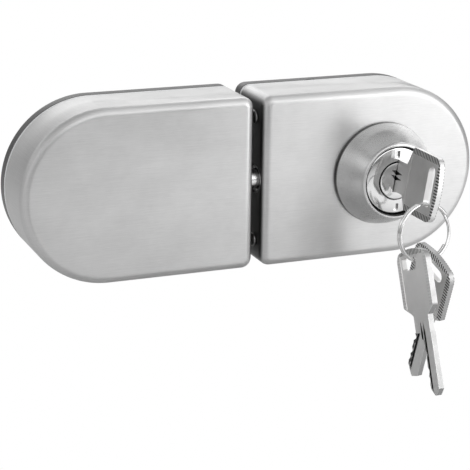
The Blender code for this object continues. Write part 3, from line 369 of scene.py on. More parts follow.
# %% Node groups and materials
class Effect(Graph):
    """A node group that reads its own Place input, for finishes that share an effect."""

    def __init__(self, name, inputs, outputs):
        super().__init__(bpy.data.node_groups.new(name, "ShaderNodeTree"))
        for way, sockets in (("INPUT", inputs), ("OUTPUT", outputs)):
            for socket, kind in sockets.items():
                self.tree.interface.new_socket(socket, in_out=way, socket_type="NodeSocket" + kind)
        self.inputs = self.tree.nodes.new("NodeGroupInput").outputs
        self.outputs = self.tree.nodes.new("NodeGroupOutput").inputs
        self.where = self.inputs["Place"]

    def give(self, **values):
        """Join values to the group's outputs and return the group."""
        for name, value in values.items():
            self.link(value, self.outputs[name])
        return self.tree


class Finish(Graph):
    """The tree of one material, which reads Object coordinates."""

    def __init__(self, name):
        self.material = bpy.data.materials.new(name)
        self.material.use_nodes = True
        super().__init__(self.material.node_tree)
        self.shader = self.tree.nodes["Principled BSDF"]
        self.where = self.node("TexCoord").outputs["Object"]

    def use(self, effect, **values):
        """Place a node group, set its inputs and return its outputs."""
        item = self.node("Group", node_tree=effect)
        for name, value in values.items():
            self.put(item.inputs[name], value)
        return item.outputs

    def finish(self, color, roughness, height=None, depth=0.0, metallic=1.0, **constants):
        """Feed the shader; height is a pattern that stands up by depth."""
        self.put(self.shader.inputs["Base Color"], color)
        self.put(self.shader.inputs["Roughness"], roughness)
        self.shader.inputs["Metallic"].default_value = metallic
        for key, value in constants.items():
            self.shader.inputs[key.replace("_", " ")].default_value = value
        if height is not None:
            bump = self.node("Bump")
            self.link(height, bump.inputs["Height"])
            bump.inputs["Distance"].default_value = depth
            self.link(bump.outputs["Normal"], self.shader.inputs["Normal"])
        return self.material


METAL_IN = {"Place": "Vector", "Dark": "Color", "Light": "Color", "Smooth": "Float", "Dull": "Float"}
METAL_OUT = {"Color": "Color", "Roughness": "Float", "Height": "Float"}
print("every metal reads", *METAL_IN, "and gives", *METAL_OUT)

# %% [markdown]
# The covers are satin steel, brushed along their length. An anisotropic shader alone gives
# the long highlights but no scratches, so noise drawn out along X adds those to colour,
# gloss and height, and faint clouds break up the large faces. The scratches differ for
# faces across Y and for faces across Z, as a belt would leave them.

# %% Brushed steel
def brushed_grain():
    """Node group of brushed steel.

    Scratches are 0.35 (face + top) + 0.3 fine, three noises drawn out along X. Six tenths
    of the tone follow them and four tenths the clouds, and the clouds dull the gloss a little.
    """
    g = Effect("brushed_grain", METAL_IN, METAL_OUT)
    long, short = 70, 4200
    face = g.noise(g.place(scale=(long, long, short)), detail=3.0, roughness=0.65)
    top = g.noise(g.place(scale=(long, short, long)), detail=3.0, roughness=0.65)
    fine = g.noise(g.place(scale=(260, 9000, 9000)))
    lines = g.plus(g.times(g.plus(face, top), 0.35), g.times(fine, 0.3))
    clouds = g.spread(g.noise(g.place(location=(3.7, 1.3, 5.1), scale=(22, 22, 34))), 0.28, 0.72)
    tone = g.plus(g.times(g.spread(lines, 0.38, 0.62), 0.6), g.times(clouds, 0.4))
    gloss = g.plus(lines, g.times(clouds, 0.15))
    return g.give(
        Color=g.blend(tone, g.inputs["Dark"], g.inputs["Light"]),
        Roughness=g.spread(gloss, 0.35, 0.8, g.inputs["Smooth"], g.inputs["Dull"]),
        Height=lines,
    )


def axis_distance():
    """Node group: distance from the cylinder's axis, the root of x squared plus z squared."""
    g = Effect("axis_distance", {"Place": "Vector"}, {"Distance": "Float"})
    part = g.axes(g.where)
    squares = g.plus(g.times(part["X"], part["X"]), g.times(part["Z"], part["Z"]))
    return g.give(Distance=g.math("SQRT", squares))


BRUSHED_GRAIN = brushed_grain()
AXIS_DISTANCE = axis_distance()
print("shared so far", BRUSHED_GRAIN.name, AXIS_DISTANCE.name)

# %% [markdown]
# Three steels share the grain. The end walls in the gap and the rose's bore look dark in
# the photograph, because little light reaches them. Further materials for those few faces
# would work too, but a mask from the place of each point darkens them without a seam.

# %% Steel of covers and rose
SCRATCH = 0.014 * MM
ALONG_X = 0.25
# Share of the dark tone kept by the painted shade on the covers' end walls in the gap.
GAP_SHADE_SHARE = 0.30


def brushed(name, dark, light, rough):
    """A graph for brushed steel and the outputs of its grain."""
    g = Finish(name)
    look = g.use(BRUSHED_GRAIN, Place=g.where, Dark=gray(dark), Light=gray(light), Smooth=rough - 0.02,
                 Dull=rough + 0.06)
    return g, look


def cover_steel(dark=0.61, light=0.79, rough=0.30, round_rough=0.16):
    """Satin covers. Their inner end walls are painted dark as shade in the gap, and their rounds a little
    duller.
    """
    g, look = brushed("satin_steel_brushed", dark, light, rough)
    part = g.axes(g.where)
    off = g.math("ABSOLUTE", g.math("SUBTRACT", part["X"], (STRIKE_X[0] + LOCK_X[0]) / 2))
    reach = abs(LOCK_X[0] - STRIKE_X[0]) / 2
    # Painted shade: faces within a millimetre of the inner end, in the gap, are darkened.
    gap_shade = g.spread(off, reach + 0.1 * MM, reach + 1.0 * MM, 1.0, 0.0)
    color = g.blend(gap_shade, look["Color"], gray(dark * GAP_SHADE_SHARE))
    rounds = g.spread(part["Y"], COVER_FACE_Y + 0.1 * MM, COVER_FACE_Y + 0.6 * MM)
    roughness = g.plus(look["Roughness"], g.times(rounds, round_rough))
    return g.finish(color, roughness, look["Height"], SCRATCH, Anisotropic=0.55, Anisotropic_Rotation=ALONG_X)


def rose_steel():
    """Satin rose, with its bore painted black as shade in the gap round the head, and a dark line round its
    foot as a painted contact shadow.
    """
    g, look = brushed("rose_steel_satin", 0.68, 0.78, 0.26)
    away = g.use(AXIS_DISTANCE, Place=g.where)["Distance"]
    bore = HEAD_R + SEAT_GAP + 0.5 * MM
    # Painted shade: the bore, inside the gap round the head, is near black.
    color = g.blend(g.spread(away, bore - 0.05 * MM, bore + 0.05 * MM, 1.0, 0.0), look["Color"], gray(0.02))
    # Painted contact shadow: a thin dark line round the foot, where the rose meets the cover.
    color = g.blend(g.spread(away, ROSE_R - 0.16 * MM, ROSE_R - 0.04 * MM), color, gray(0.10))
    return g.finish(color, look["Roughness"], look["Height"], 0.8 * SCRATCH, Anisotropic=0.3,
                    Anisotropic_Rotation=ALONG_X)


def back_steel():
    """Dark, dull steel of the rear covers."""
    g, look = brushed("back_steel_dull", 0.14, 0.21, 0.40)
    return g.finish(look["Color"], look["Roughness"], look["Height"], SCRATCH, Anisotropic=0.3,
                    Anisotropic_Rotation=ALONG_X)


SATIN = cover_steel()
ROSE = rose_steel()
BACK = back_steel()
print("brushed steels", SATIN.name, ROSE.name, BACK.name)

# %% [markdown]
# The cylinder head, the bolt and the ring are plated and polished. A perfect mirror looks
# computed, so slow noise adds wipe marks to tone and gloss, and fine noise adds tiny pits.
# Screws and bushes are turned: their noise is drawn out across the axis, which leaves the
# rings of the tool.

# %% Plated and turned metals
def plating_marks():
    """Node group of plated metal: wipe marks in tone and gloss, and pits in the height."""
    g = Effect("plating_marks", METAL_IN, METAL_OUT)
    smear = g.noise(g.place(scale=(90, 160, 120)), detail=4.0)
    pits = g.noise(g.place(scale=(2600, 2600, 2600)), detail=1.0)
    return g.give(
        Color=g.blend(smear, g.inputs["Dark"], g.inputs["Light"]),
        Roughness=g.spread(smear, 0.3, 0.7, g.inputs["Smooth"], g.inputs["Dull"]),
        Height=g.times(pits, 0.3),
    )


def tool_rings():
    """Node group of turned metal: rings are noise stretched by the Stretch input."""
    g = Effect("tool_rings", METAL_IN | {"Stretch": "Vector"}, METAL_OUT)
    rings = g.noise(g.place(scale=g.inputs["Stretch"]))
    cloud = g.noise(g.place(scale=(160, 160, 160)), detail=3.0)
    return g.give(
        Color=g.blend(cloud, g.inputs["Dark"], g.inputs["Light"]),
        Roughness=g.spread(rings, 0.3, 0.7, g.inputs["Smooth"], g.inputs["Dull"]),
        Height=rings,
    )


PLATING_MARKS = plating_marks()
TOOL_RINGS = tool_rings()


def plated(name, tone, rough, speckle=0.04, side=None):
    """Plated metal. Past the radius side, where the wall of a head begins, it is painted near black as shade
    in the gap round the head.
    """
    g = Finish(name)
    look = g.use(PLATING_MARKS, Place=g.where, Dark=gray(tone - speckle), Light=gray(tone + speckle),
                 Smooth=rough, Dull=rough + 0.06)
    color = look["Color"]
    if side is not None:
        away = g.use(AXIS_DISTANCE, Place=g.where)["Distance"]
        # Painted shade on the head's side wall, inside the rose's bore.
        color = g.blend(g.spread(away, side - 0.1 * MM, side - 0.02 * MM), color, gray(0.02))
    return g.finish(color, look["Roughness"], look["Height"], 0.006 * MM)


def turned_metal(name, dark, light, stretch, rough=0.24):
    """Turned metal, with noise stretched so that it rings its axis."""
    g = Finish(name)
    look = g.use(TOOL_RINGS, Place=g.where, Dark=gray(dark), Light=gray(light), Smooth=rough,
                 Dull=rough + 0.1, Stretch=stretch)
    return g.finish(look["Color"], look["Roughness"], look["Height"], 0.008 * MM)


ROUND_X = (5200, 40, 40)
ROUND_Y = (40, 5200, 40)
CHROME = plated("chrome_polished", 0.80, 0.06, side=HEAD_R)
BOLT = plated("bolt_polished", 0.88, 0.22)
WIRE = plated("ring_wire_bright", 0.86, 0.06, speckle=0.08)
STEEL = turned_metal("screw_steel_turned", 0.50, 0.62, ROUND_Y)
# The end screws stand in the gap: their steel is a darker copy of the screw steel, painted shade.
SHADED_END_STEEL = turned_metal("end_screw_steel_shaded", 0.22, 0.30, ROUND_X)
BUSH = turned_metal("bush_nickel_turned", 0.58, 0.70, ROUND_X)
print("node groups", sorted(group.name for group in bpy.data.node_groups))

# %% [markdown]
# The frames inside are die-cast zinc, matt and mottled. The gaskets are a pale, soft rubber
# that keeps steel off the glass. Each is used once, so its noise stays in its material.

# %% Cast metal and rubber
def cast_zinc(tone=0.42):
    """Die-cast metal: slow noise mottles the tone, and fine noise gives the skin its grain."""
    g = Finish("zinc_cast")
    grain = g.noise(g.place(scale=(1500, 1500, 1500)), detail=3.0)
    cloud = g.noise(g.place(scale=(120, 120, 120)), detail=4.0)
    color = g.blend(cloud, gray(tone * 0.8), gray(tone * 1.2))
    return g.finish(color, g.spread(grain, 0.3, 0.7, 0.45, 0.62), grain, 0.03 * MM)


def pale_rubber():
    """Pale, slightly cool rubber with the faint grain of its mould."""
    g = Finish("gasket_pale")
    grain = g.noise(g.place(scale=(900, 900, 900)))
    color = g.blend(grain, (0.86, 0.87, 0.88, 1.0), (0.95, 0.955, 0.96, 1.0))
    return g.finish(color, g.spread(grain, 0.3, 0.7, 0.38, 0.5), grain, 0.02 * MM, metallic=0.0)


ZINC = cast_zinc()
GASKET = pale_rubber()
print("materials", len(bpy.data.materials))

# %% [markdown]
# A half's outline is a rectangle with one round end and two rounded corners. A box with a
# Bevel would need a weight for each of its corners, so the outline is a formula. Each
# straight run has extra points near its ends, which keep its flat wall flat when shaded.

# %% Outline of a half
CORNER = 4.0 * MM
EASE = 0.3 * MM
END_STEPS = 96
CORNER_STEPS = 10


def arc(cx, cz, radius, start, end, steps):
    """Points (steps + 1, 2) of an arc: the centre plus r (cos t, sin t)."""
    t = np.linspace(start, end, steps + 1)
    return np.stack([cx + radius * np.cos(t), cz + radius * np.sin(t)], -1)


def outline(half, inset, marks=()):
    """Points (m, 2) in X and Z of a half's outline, drawn in by an inset.

    The round end is a half circle of half the height less the inset, and the corners are
    quarter circles that shrink by the inset. marks are pairs (kind, value): an extra point
    at a height on the round end, or at a distance from the inner end on the top run.
    """
    side = math.copysign(1.0, half[1] - half[0])
    end = HALF_HEIGHT / 2
    reach = end - inset
    r = max(CORNER - inset, 0.3 * MM)
    far = HALF_LENGTH - end
    heights = np.array([z for kind, z in marks if kind == "end"])
    angles = np.linspace(-QUARTER, QUARTER, END_STEPS + 1)
    angles = np.sort(np.concatenate([angles, np.arcsin(heights / end)]))
    tops = [far - EASE, inset + r + EASE] + [u for kind, u in marks if kind == "top"]
    points = np.concatenate([
        np.stack([far + reach * np.cos(angles), reach * np.sin(angles)], -1),
        [(u, reach) for u in sorted(tops, reverse=True)],
        arc(inset + r, reach - r, r, QUARTER, 2 * QUARTER, CORNER_STEPS),
        [(inset, reach - r - EASE), (inset, r + EASE - reach)],
        arc(inset + r, r - reach, r, 2 * QUARTER, 3 * QUARTER, CORNER_STEPS),
        [(inset + r + EASE, -reach), (far - EASE, -reach)],
    ])
    return np.stack([half[0] + side * points[:, 0], points[:, 1]], -1)


def level(points, y):
    """Lay an outline (m, 2) in the plane of a y, or of one y for each point."""
    return np.stack([points[:, 0], np.broadcast_to(y, len(points)), points[:, 1]], -1)


def carried(half, profile, marks=()):
    """Carry a profile of (inset, y) points round a half: one level loop for each point."""
    return [level(outline(half, inset, marks), y) for inset, y in profile]


def along(half, distance):
    """X at a distance from the inner end of a half."""
    return half[0] + distance * math.copysign(1.0, half[1] - half[0])


print("points in an outline", len(outline(LOCK_X, 0.0)))

# %% [markdown]
# A cover is pressed from sheet, so it has a wall inside as well as outside. Solidify could
# give a shell its wall, but here one profile runs over both sides: inside face, inside
# round, inside wall, rim, outside wall, outside round, outside face. So the rim, which
# shows as a thin bright line, can have an edge of its own and lift for a notch.

# %% Pressed covers
RIM_EDGE = 0.12 * MM
FACE_FILLET = 3.1 * MM


def drawn_cover(name, half, rim_y, face_y, fillet, steps, marks=(), notch=None):
    """A cover as one skin: a profile of (inset, y) points carried round its half.

    A round of radius r is inset r (1 - sin a) and depth r (1 - cos a). The inner round has
    the fillet less the wall. notch gives the lift of the rim at each point of the outline.
    """
    front = math.copysign(1.0, rim_y - face_y)
    a = np.linspace(0.0, QUARTER, steps + 1)
    bend = fillet - WALL
    wall_y = face_y + front * (fillet + EASE)
    flat_inset = fillet + 2 * EASE
    inner = zip(WALL + bend * (1 - np.sin(a)), face_y + front * (WALL + bend * (1 - np.cos(a))))
    outer = zip(fillet * (1 - np.sin(a[::-1])), face_y + front * fillet * (1 - np.cos(a[::-1])))
    rim = rim_y if notch is None else rim_y - front * notch(outline(half, 0.0, marks))
    profile = [(flat_inset, face_y + front * WALL), *inner, (WALL, wall_y)]
    profile += [(WALL, rim), (RIM_EDGE, rim), (0.0, rim - front * RIM_EDGE)]
    profile += [(0.0, wall_y), *outer, (flat_inset, face_y)]
    return skin(name, carried(half, profile, marks))


def end_way(name, radius, half, z, steps=64):
    """Cutter along X for a round hole in the inner end wall of a half."""
    ends = [(radius, along(half, -1 * MM)), (radius, along(half, 3 * MM))]
    return turned(name, ends, "X", (BOLT_Y, z), steps)


def end_cutters(half):
    """Holes in the inner end wall for the bush and the two end screws."""
    screws = [end_way("screw_way", 1.8 * MM, half, z) for z in (END_SCREW_Z, -END_SCREW_Z)]
    return [end_way("bush_way", 5.65 * MM, half, 0.0, 96)] + screws


print("wall", round(WALL / MM, 2), "mm, front fillet", round(FACE_FILLET / MM, 2), "mm")

# %% [markdown]
# The front covers are most of what shows. Their bush and screw holes are cut in the
# inner end walls, and the lock's cover has a hole for the cylinder. A notch in the strike
# cover's rim, where it can be prised off, comes from the profile and needs no cutting.

# %% Front covers
NOTCH_DEPTH = 0.9 * MM
END_NOTCH_Z = (-4.0 * MM, 1.0 * MM)
MARK_STEP = 0.03 * MM


def marks_at(kind, values):
    """Two marks close to each end of a notch, so that its flanks are steep."""
    return [(kind, value + step) for value in values for step in (-MARK_STEP, MARK_STEP)]


def end_notch(p):
    """Lift of the strike cover's rim, only between two heights of the round end."""
    low, high = END_NOTCH_Z
    return NOTCH_DEPTH * ((p[:, 0] < STRIKE_X[1] + 3 * MM) & (p[:, 1] > low) & (p[:, 1] < high))


strike_cover = drawn_cover("strike_cover_skin", STRIKE_X, COVER_RIM_Y, COVER_FACE_Y, FACE_FILLET, 12,
                           marks_at("end", END_NOTCH_Z), end_notch)
cut(strike_cover, end_cutters(STRIKE_X))
done(strike_cover, "halves", ["strike_cover"], SATIN)

lock_cover = drawn_cover("lock_cover_skin", LOCK_X, COVER_RIM_Y, COVER_FACE_Y, FACE_FILLET, 12)
barrel_ends = [(BARREL_WAY_R, COVER_FACE_Y - MM), (BARREL_WAY_R, COVER_FACE_Y + 2.5 * MM)]
cut(lock_cover, end_cutters(LOCK_X) + [turned("barrel_way", barrel_ends, "Y", (0, 0))])
done(lock_cover, "halves", ["lock_cover"], SATIN)
print("covers", made)

# %% [markdown]
# The rear covers are flatter and carry the countersunk clamp screws, which are turned from
# behind. Each screw's place is read from its own box, so the holes follow the solids.

# %% Rear covers
BACK_FILLET = 1.4 * MM
BACK_NOTCH_SETBACK = 30.0 * MM
BACK_NOTCH_LENGTH = 3.4 * MM
SIDES = {"lock": LOCK_X, "strike": STRIKE_X}


def clamp_screws(prefix):
    """Node, centre in X and Z, and head radius of each clamp screw of a half."""
    for name in ("upper", "lower", "outer"):
        node = prefix + "_clamp_screw_" + name
        low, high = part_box(node)
        yield node, ((low[0] + high[0]) / 2, (low[2] + high[2]) / 2), (high[0] - low[0]) / 2


def back_notch(p):
    """Lift of the rear cover's rim, only over a short stretch of the top run."""
    off = abs(p[:, 0] - (LOCK_X[0] + BACK_NOTCH_SETBACK))
    return NOTCH_DEPTH * ((off < BACK_NOTCH_LENGTH / 2) & (p[:, 1] > 0))


ends = [BACK_NOTCH_SETBACK + side * BACK_NOTCH_LENGTH / 2 for side in (-1, 1)]
for prefix, marks, notch in (("lock", marks_at("top", ends), back_notch), ("strike", (), None)):
    back = drawn_cover(prefix + "_back_skin", SIDES[prefix], BACK_RIM_Y, BACK_FACE_Y, BACK_FILLET, 8,
                       marks, notch)
    holes = []
    for node, centre, head in clamp_screws(prefix):
        wide = head + SEAT_GAP
        shape = [(wide, MM), (wide, -0.3 * MM), (CLAMP_WAY_R, -2.6 * MM), (CLAMP_WAY_R, -4 * MM)]
        holes.append(turned("countersink", shape, "Y", centre, 64))
    cut(back, holes)
    done(back, "halves", [prefix + "_back_cover"], BACK)
print("rear covers", made[-2:])

# %% [markdown]
# The gaskets are thin pads with softly rounded edges, pale against the dark rear covers.
# The covers' outline gives them their shape, so they never stand out past the steel.

# %% Gaskets
GASKET_FRONT_Y, GASKET_REAR_Y = span("lock_gasket", 1)
SOFT_EDGE = 0.3 * MM
a = np.linspace(0.0, QUARTER, 4)
drawn_in = SOFT_EDGE * (1 - np.sin(a))
stepped = SOFT_EDGE * (1 - np.cos(a))
pad = [(2 * MM, GASKET_FRONT_Y), *zip(drawn_in, GASKET_FRONT_Y + stepped)]
pad += [*zip(drawn_in[::-1], GASKET_REAR_Y - stepped[::-1]), (2 * MM, GASKET_REAR_Y)]
way = [(CLAMP_WAY_R, GASKET_FRONT_Y - MM), (CLAMP_WAY_R, GASKET_REAR_Y + MM)]
for prefix, half in SIDES.items():
    gasket = skin(prefix + "_gasket_pad", carried(half, pad))
    cut(gasket, [turned("pad_way", way, "Y", centre, 48) for node, centre, head in clamp_screws(prefix)])
    done(gasket, "halves", [prefix + "_gasket"], GASKET)
print("gaskets", made[-2:])

# %% [markdown]
# The rose is the domed ring that hides the hole round the cylinder. Its flank bulges by the
# height of a sine, which catches the light more softly than a plain cone would.

# %% Rose
LIP_Y, ROSE_FOOT_Y = span("lock_rose", 1)
HEAD_Y, BARREL_REAR_Y = span("cylinder_housing", 1)
LIP_R = 14.75 * MM
LIP_ROUND = 0.7 * MM
FLANK_BULGE = 0.5 * MM
SEAT_Y = COVER_FACE_Y - 2.6 * MM
flank_start = ROSE_FOOT_Y - 0.9 * MM
flank_end = LIP_Y + LIP_ROUND
t = np.linspace(0.0, 1.0, 25)
a = np.linspace(0.0, QUARTER, 9)[1:]
bore = HEAD_R + SEAT_GAP
profile = [
    (ROSE_R, ROSE_FOOT_Y),
    *zip(ROSE_R + (LIP_R - ROSE_R) * t + FLANK_BULGE * np.sin(np.pi * t),
         flank_start + (flank_end - flank_start) * t),
    *zip(LIP_R - LIP_ROUND * (1 - np.cos(a)), flank_end - LIP_ROUND * np.sin(a)),
    (bore + 0.35 * MM, LIP_Y), (bore, HEAD_Y - 0.2 * MM), (bore, SEAT_Y),
    (BARREL_WAY_R, SEAT_Y), (BARREL_WAY_R, ROSE_FOOT_Y),
]
rose = turned("rose_skin", profile, "Y", (0, 0), 160, ring=True)
done(rose, "halves", ["lock_rose"], ROSE)
print("rose", round(ROSE_R / MM, 2), "mm at the foot,", round(LIP_R / MM, 2), "mm at the lip")

# %% [markdown]
# The cylinder is a chromed head on a barrel with two flats. Two slots let a pin spanner
# hold the head while the nut behind is tightened. They are cut, since a turned profile is
# the same all round.

# %% Cylinder
PLUG_R = span("cylinder_plug", 0)[1]
PLUG_Y, PLUG_END_Y = span("cylinder_plug", 1)
RUN_GAP = 0.35 * MM
BARREL_R = 10.8 * MM
BARREL_FLAT = 9.3 * MM
SPANNER_FROM, SPANNER_TO, SPANNER_HALF = 8.9 * MM, 11.6 * MM, 0.9 * MM
shoulder = COVER_FACE_Y - 2.9 * MM
bore = PLUG_R + RUN_GAP
profile = [(bore, BARREL_REAR_Y), (bore, HEAD_Y + 0.2 * MM), (bore + 0.2 * MM, HEAD_Y),
           (HEAD_R - 0.6 * MM, HEAD_Y), (HEAD_R - 0.18 * MM, HEAD_Y + 0.18 * MM), (HEAD_R, HEAD_Y + 0.6 * MM),
           (HEAD_R, shoulder), (BARREL_R, shoulder), (BARREL_R, BARREL_REAR_Y)]
housing = turned("cylinder_body", profile, "Y", (0, 0), 128, ring=True)
cuts = []
for side in (1, -1):
    low, high = sorted((side * SPANNER_FROM, side * SPANNER_TO))
    cuts.append(block("spanner_slot", (-SPANNER_HALF, HEAD_Y - MM, low), (SPANNER_HALF, HEAD_Y + MM, high)))
    near, far = sorted((side * BARREL_FLAT, side * 12 * MM))
    start_y = COVER_FACE_Y - 0.3 * MM
    cuts.append(block("barrel_flat", (near, start_y, -11 * MM), (far, BARREL_REAR_Y + MM, 11 * MM)))
cut(housing, cuts)
done(housing, "halves", ["cylinder_housing"], CHROME)
print("cylinder head", round(HEAD_R / MM, 2), "mm, plug", round(PLUG_R / MM, 2), "mm")

# %% [markdown]
# The plug turns with the key. It has a groove for its clip and a square tenon for the cam.
# The keyway is cut upright and then leaned, as the key leans in the photograph.

# %% Plug
KEY_LEAN = math.radians(9.0)
KEY_HALF = 1.05 * MM
TENON = 2.2 * MM
GROOVE_DEPTH = 0.9 * MM
groove_y = (BARREL_REAR_Y - 0.15 * MM, BARREL_REAR_Y + 1.25 * MM)
plug_rear = groove_y[1] + MM
profile = [(PLUG_R - 0.4 * MM, PLUG_Y), (PLUG_R - 0.1 * MM, PLUG_Y + 0.1 * MM), (PLUG_R, PLUG_Y + 0.4 * MM),
           (PLUG_R, groove_y[0]), (PLUG_R - GROOVE_DEPTH, groove_y[0]), (PLUG_R - GROOVE_DEPTH, groove_y[1]),
           (PLUG_R, groove_y[1]), (PLUG_R, plug_rear)]
plug = turned("plug_body", profile, "Y", (0, 0), 96)
tenon = block("tenon", (-TENON, plug_rear - MM, -TENON), (TENON, PLUG_END_Y, TENON))
boolean(plug, tenon, "UNION")
slot_half = KEY_HALF + SEAT_GAP
keyway = block("keyway", (-slot_half, PLUG_Y - MM, -4.4 * MM), (slot_half, groove_y[0] - 0.3 * MM, 4.4 * MM))
keyway.data.transform(Matrix.Rotation(KEY_LEAN, 4, "Y"))
way = [(1.5 * MM, plug_rear - 0.6 * MM), (1.5 * MM, PLUG_END_Y + MM)]
cut(plug, [keyway, turned("screw_way", way, "Y", (0, 0), 48)])
bpy.data.objects.remove(tenon, do_unlink=True)
done(plug, "plug", ["cylinder_plug"], CHROME)
print("plug", round((PLUG_END_Y - PLUG_Y) / MM, 1), "mm long")

# %% [markdown]
# The bolt crosses the gap between the halves as a bright round bar. Behind it, inside the
# lock, a block joins the bar to a flat tail, whose fork the cam's pin moves.

# %% Bolt
BOLT_R = 3.6 * MM
BOLT_TIP_R = 2.7 * MM
PIN_RADIUS = 8 * MM
FORK_HALF = 2.05 * MM
FORK_FOOT = 4.15 * MM
TAIL_HALF = 4.5 * MM
FOOT_X = -15.5 * MM
FLAG_X = -19 * MM
FLAG_TOP = 12 * MM
(tip, _, _), (tail_end, tail_rear, _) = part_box("bolt")
tail_front = tail_rear - 2.8 * MM
block_start = along(LOCK_X, 8.6 * MM)
block_end = block_start + 6 * MM
nose = [(0.2 * MM, tip), (BOLT_TIP_R, tip), (BOLT_R, tip + 0.9 * MM), (BOLT_R, block_start + 3 * MM)]
bar = turned_loops(rounded(nose, 0.5 * MM), "X", (BOLT_Y, 0.0), 64)
pin_x = -PIN_RADIUS * math.sin(math.radians(45))
tail = np.concatenate([
    [(block_start, -TAIL_HALF), (FOOT_X, -TAIL_HALF), (FOOT_X, FORK_FOOT), (pin_x - FORK_HALF, FORK_FOOT)],
    arc(pin_x, PIN_RADIUS, FORK_HALF, 2 * QUARTER, 0.0, 16),
    [(pin_x + FORK_HALF, FORK_FOOT), (tail_end, FORK_FOOT), (tail_end, FLAG_TOP), (FLAG_X, FLAG_TOP),
     (FLAG_X, TAIL_HALF), (block_start, TAIL_HALF)],
])
near, far = BOLT_Y - BOLT_R, tail_front + 1.4 * MM
neck = [[(x, near, -BOLT_R), (x, far, -BOLT_R), (x, far, BOLT_R), (x, near, BOLT_R)]
        for x in (block_start, block_end)]
bolt = several("bolt_bar", [bar, neck, [level(tail, tail_front), level(tail, tail_rear)]])
done(bolt, "bolt", ["bolt"], BOLT)
print("bolt", round(2 * BOLT_R / MM, 1), "mm thick")

# %% [markdown]
# A bush lines each end wall, so that the bolt runs on a turned ring and not on the sheet.
# Its flange sits inside the wall, and only its mouth shows in the gap.

# %% Bushes
FLANGE = 1.0 * MM
for node, half, bore in (("bolt_bush", LOCK_X, 3.95 * MM), ("strike_bush", STRIKE_X, 4.35 * MM)):
    low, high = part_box(node)
    mouth, rear = (low[0], high[0]) if half is LOCK_X else (high[0], low[0])
    step = math.copysign(1.0, rear - mouth)
    rim = high[2]
    profile = [(bore, mouth + step * 0.3 * MM), (bore + 0.3 * MM, mouth), (rim - FLANGE, mouth),
               (rim - FLANGE, rear - step * FLANGE), (rim, rear - step * FLANGE), (rim, rear), (bore, rear)]
    bush = turned(node + "_turned", profile, "X", (BOLT_Y, 0.0), 96, ring=True)
    done(bush, "halves", [node], BUSH)
print("bushes", made[-2:])

# %% [markdown]
# The screws have rounded heads with a hexagon socket. Cutting each socket with a Boolean
# would work too, but a skin can start with hexagon loops at the bottom of the socket and go
# on with round ones over the head, which costs nothing and leaves no thin faces.

# %% Screws
def hexagon(apothem, steps):
    """Points (steps, 2) on a regular hexagon: r(t) = apothem / cos(t mod 60 deg - 30 deg)."""
    t = np.linspace(0.0, 2.0 * np.pi, steps, endpoint=False)
    wedge = np.pi / 3
    r = apothem / np.cos(t % wedge - wedge / 2)
    return np.stack([r * np.cos(t), r * np.sin(t)], -1)


def screw(name, shape, socket, axis, centre, steps=72):
    """A screw: hexagon loops of its socket, then a circle for each (radius, place) of its shape."""
    deep, mouth, apothem = socket
    flat = [hexagon(apothem * 0.35, steps), hexagon(apothem, steps), hexagon(apothem, steps)]
    flat += [circle(r, steps) for r, place in shape]
    return skin(name, laid(flat, [deep, deep, mouth] + [place for r, place in shape], axis, centre))


SHANK_R = 2.5 * MM
END_HEAD_R = 2.7 * MM
END_SHANK_R = 1.5 * MM
for prefix, half in SIDES.items():
    for node, centre, head in clamp_screws(prefix):
        tip, top = span(node, 1)
        shape = [(head - 0.15 * MM, top), (head, top - 0.12 * MM), (head, top - 0.3 * MM)]
        shape += [(SHANK_R, -2.3 * MM), (SHANK_R, tip + 0.5 * MM), (SHANK_R - 0.5 * MM, tip)]
        item = screw(node + "_turned", shape, (top - 1.8 * MM, top, 1.5 * MM), "Y", centre)
        done(item, "halves", [node], STEEL)
    top, seat = along(half, -1.4 * MM), along(half, -0.3 * MM)
    step = math.copysign(1.0, seat - top)
    for name, z in (("upper", END_SCREW_Z), ("lower", -END_SCREW_Z)):
        node = prefix + "_end_screw_" + name
        tip = span(node, 0)[1 if half is LOCK_X else 0]
        head = [(1.5 * MM, top), (2.15 * MM, top), (END_HEAD_R, top + step * 0.55 * MM), (END_HEAD_R, seat)]
        shape = [*rounded(head, 0.35 * MM), (END_SHANK_R, seat), (END_SHANK_R, tip - step * 0.4 * MM),
                 (END_SHANK_R - 0.4 * MM, tip)]
        item = screw(node + "_turned", shape, (top + step * 0.7 * MM, top, 1.0 * MM), "X", (BOLT_Y, z))
        done(item, "halves", [node], SHADED_END_STEEL)
print("screws", sum("screw" in name for name in made))

# %% [markdown]
# A key is stamped from flat metal, milled and plated. Its outline is drawn in its own frame,
# blade to +Y and bow to -Y, given its thickness, cut, and then every edge gets a small
# bevel. One function makes all three keys, so that they fit the same lock.

# %% Key sizes
SHOULDER_Y = PLUG_Y - SEAT_GAP
BLADE_LENGTH = 23.0 * MM
BLADE_HALF = 4.1 * MM
TIP_HALF = 1.2 * MM
TIP_TAPER = 2.4 * MM
NECK = dict(length=6.6 * MM, low=-3.8 * MM, high=8.1 * MM)
BOW = dict(length=24.6 * MM, low=-8.8 * MM, high=15.3 * MM, shoulder=2.5 * MM, crown=1.0 * MM, outer=4.0 * MM,
           inner=1.2 * MM)
BOW_END = -NECK["length"] - BOW["length"]
BITTING = np.array([0.5, 1.2, 0.4, 1.0, 0.7]) * MM
BITE_PITCH = 3.2 * MM


def blade_edge():
    """Upper edge of the blade from shoulder to tip: a flat bite at each depth, and a rise after it."""
    y = 4.0 * MM + BITE_PITCH * np.arange(len(BITTING))
    shallow = BITTING.min()
    bites = np.stack([y, y + 0.8 * MM, y + 2.24 * MM], 1)
    depths = np.stack([BITTING, BITTING, np.full(len(BITTING), shallow / 2)], 1)
    middle = np.stack([bites.ravel(), BLADE_HALF - depths.ravel()], -1)
    start = [(0.0, BLADE_HALF), (2.4 * MM, BLADE_HALF)]
    return np.concatenate([start, middle, [(BLADE_LENGTH - TIP_TAPER, BLADE_HALF - shallow)]])


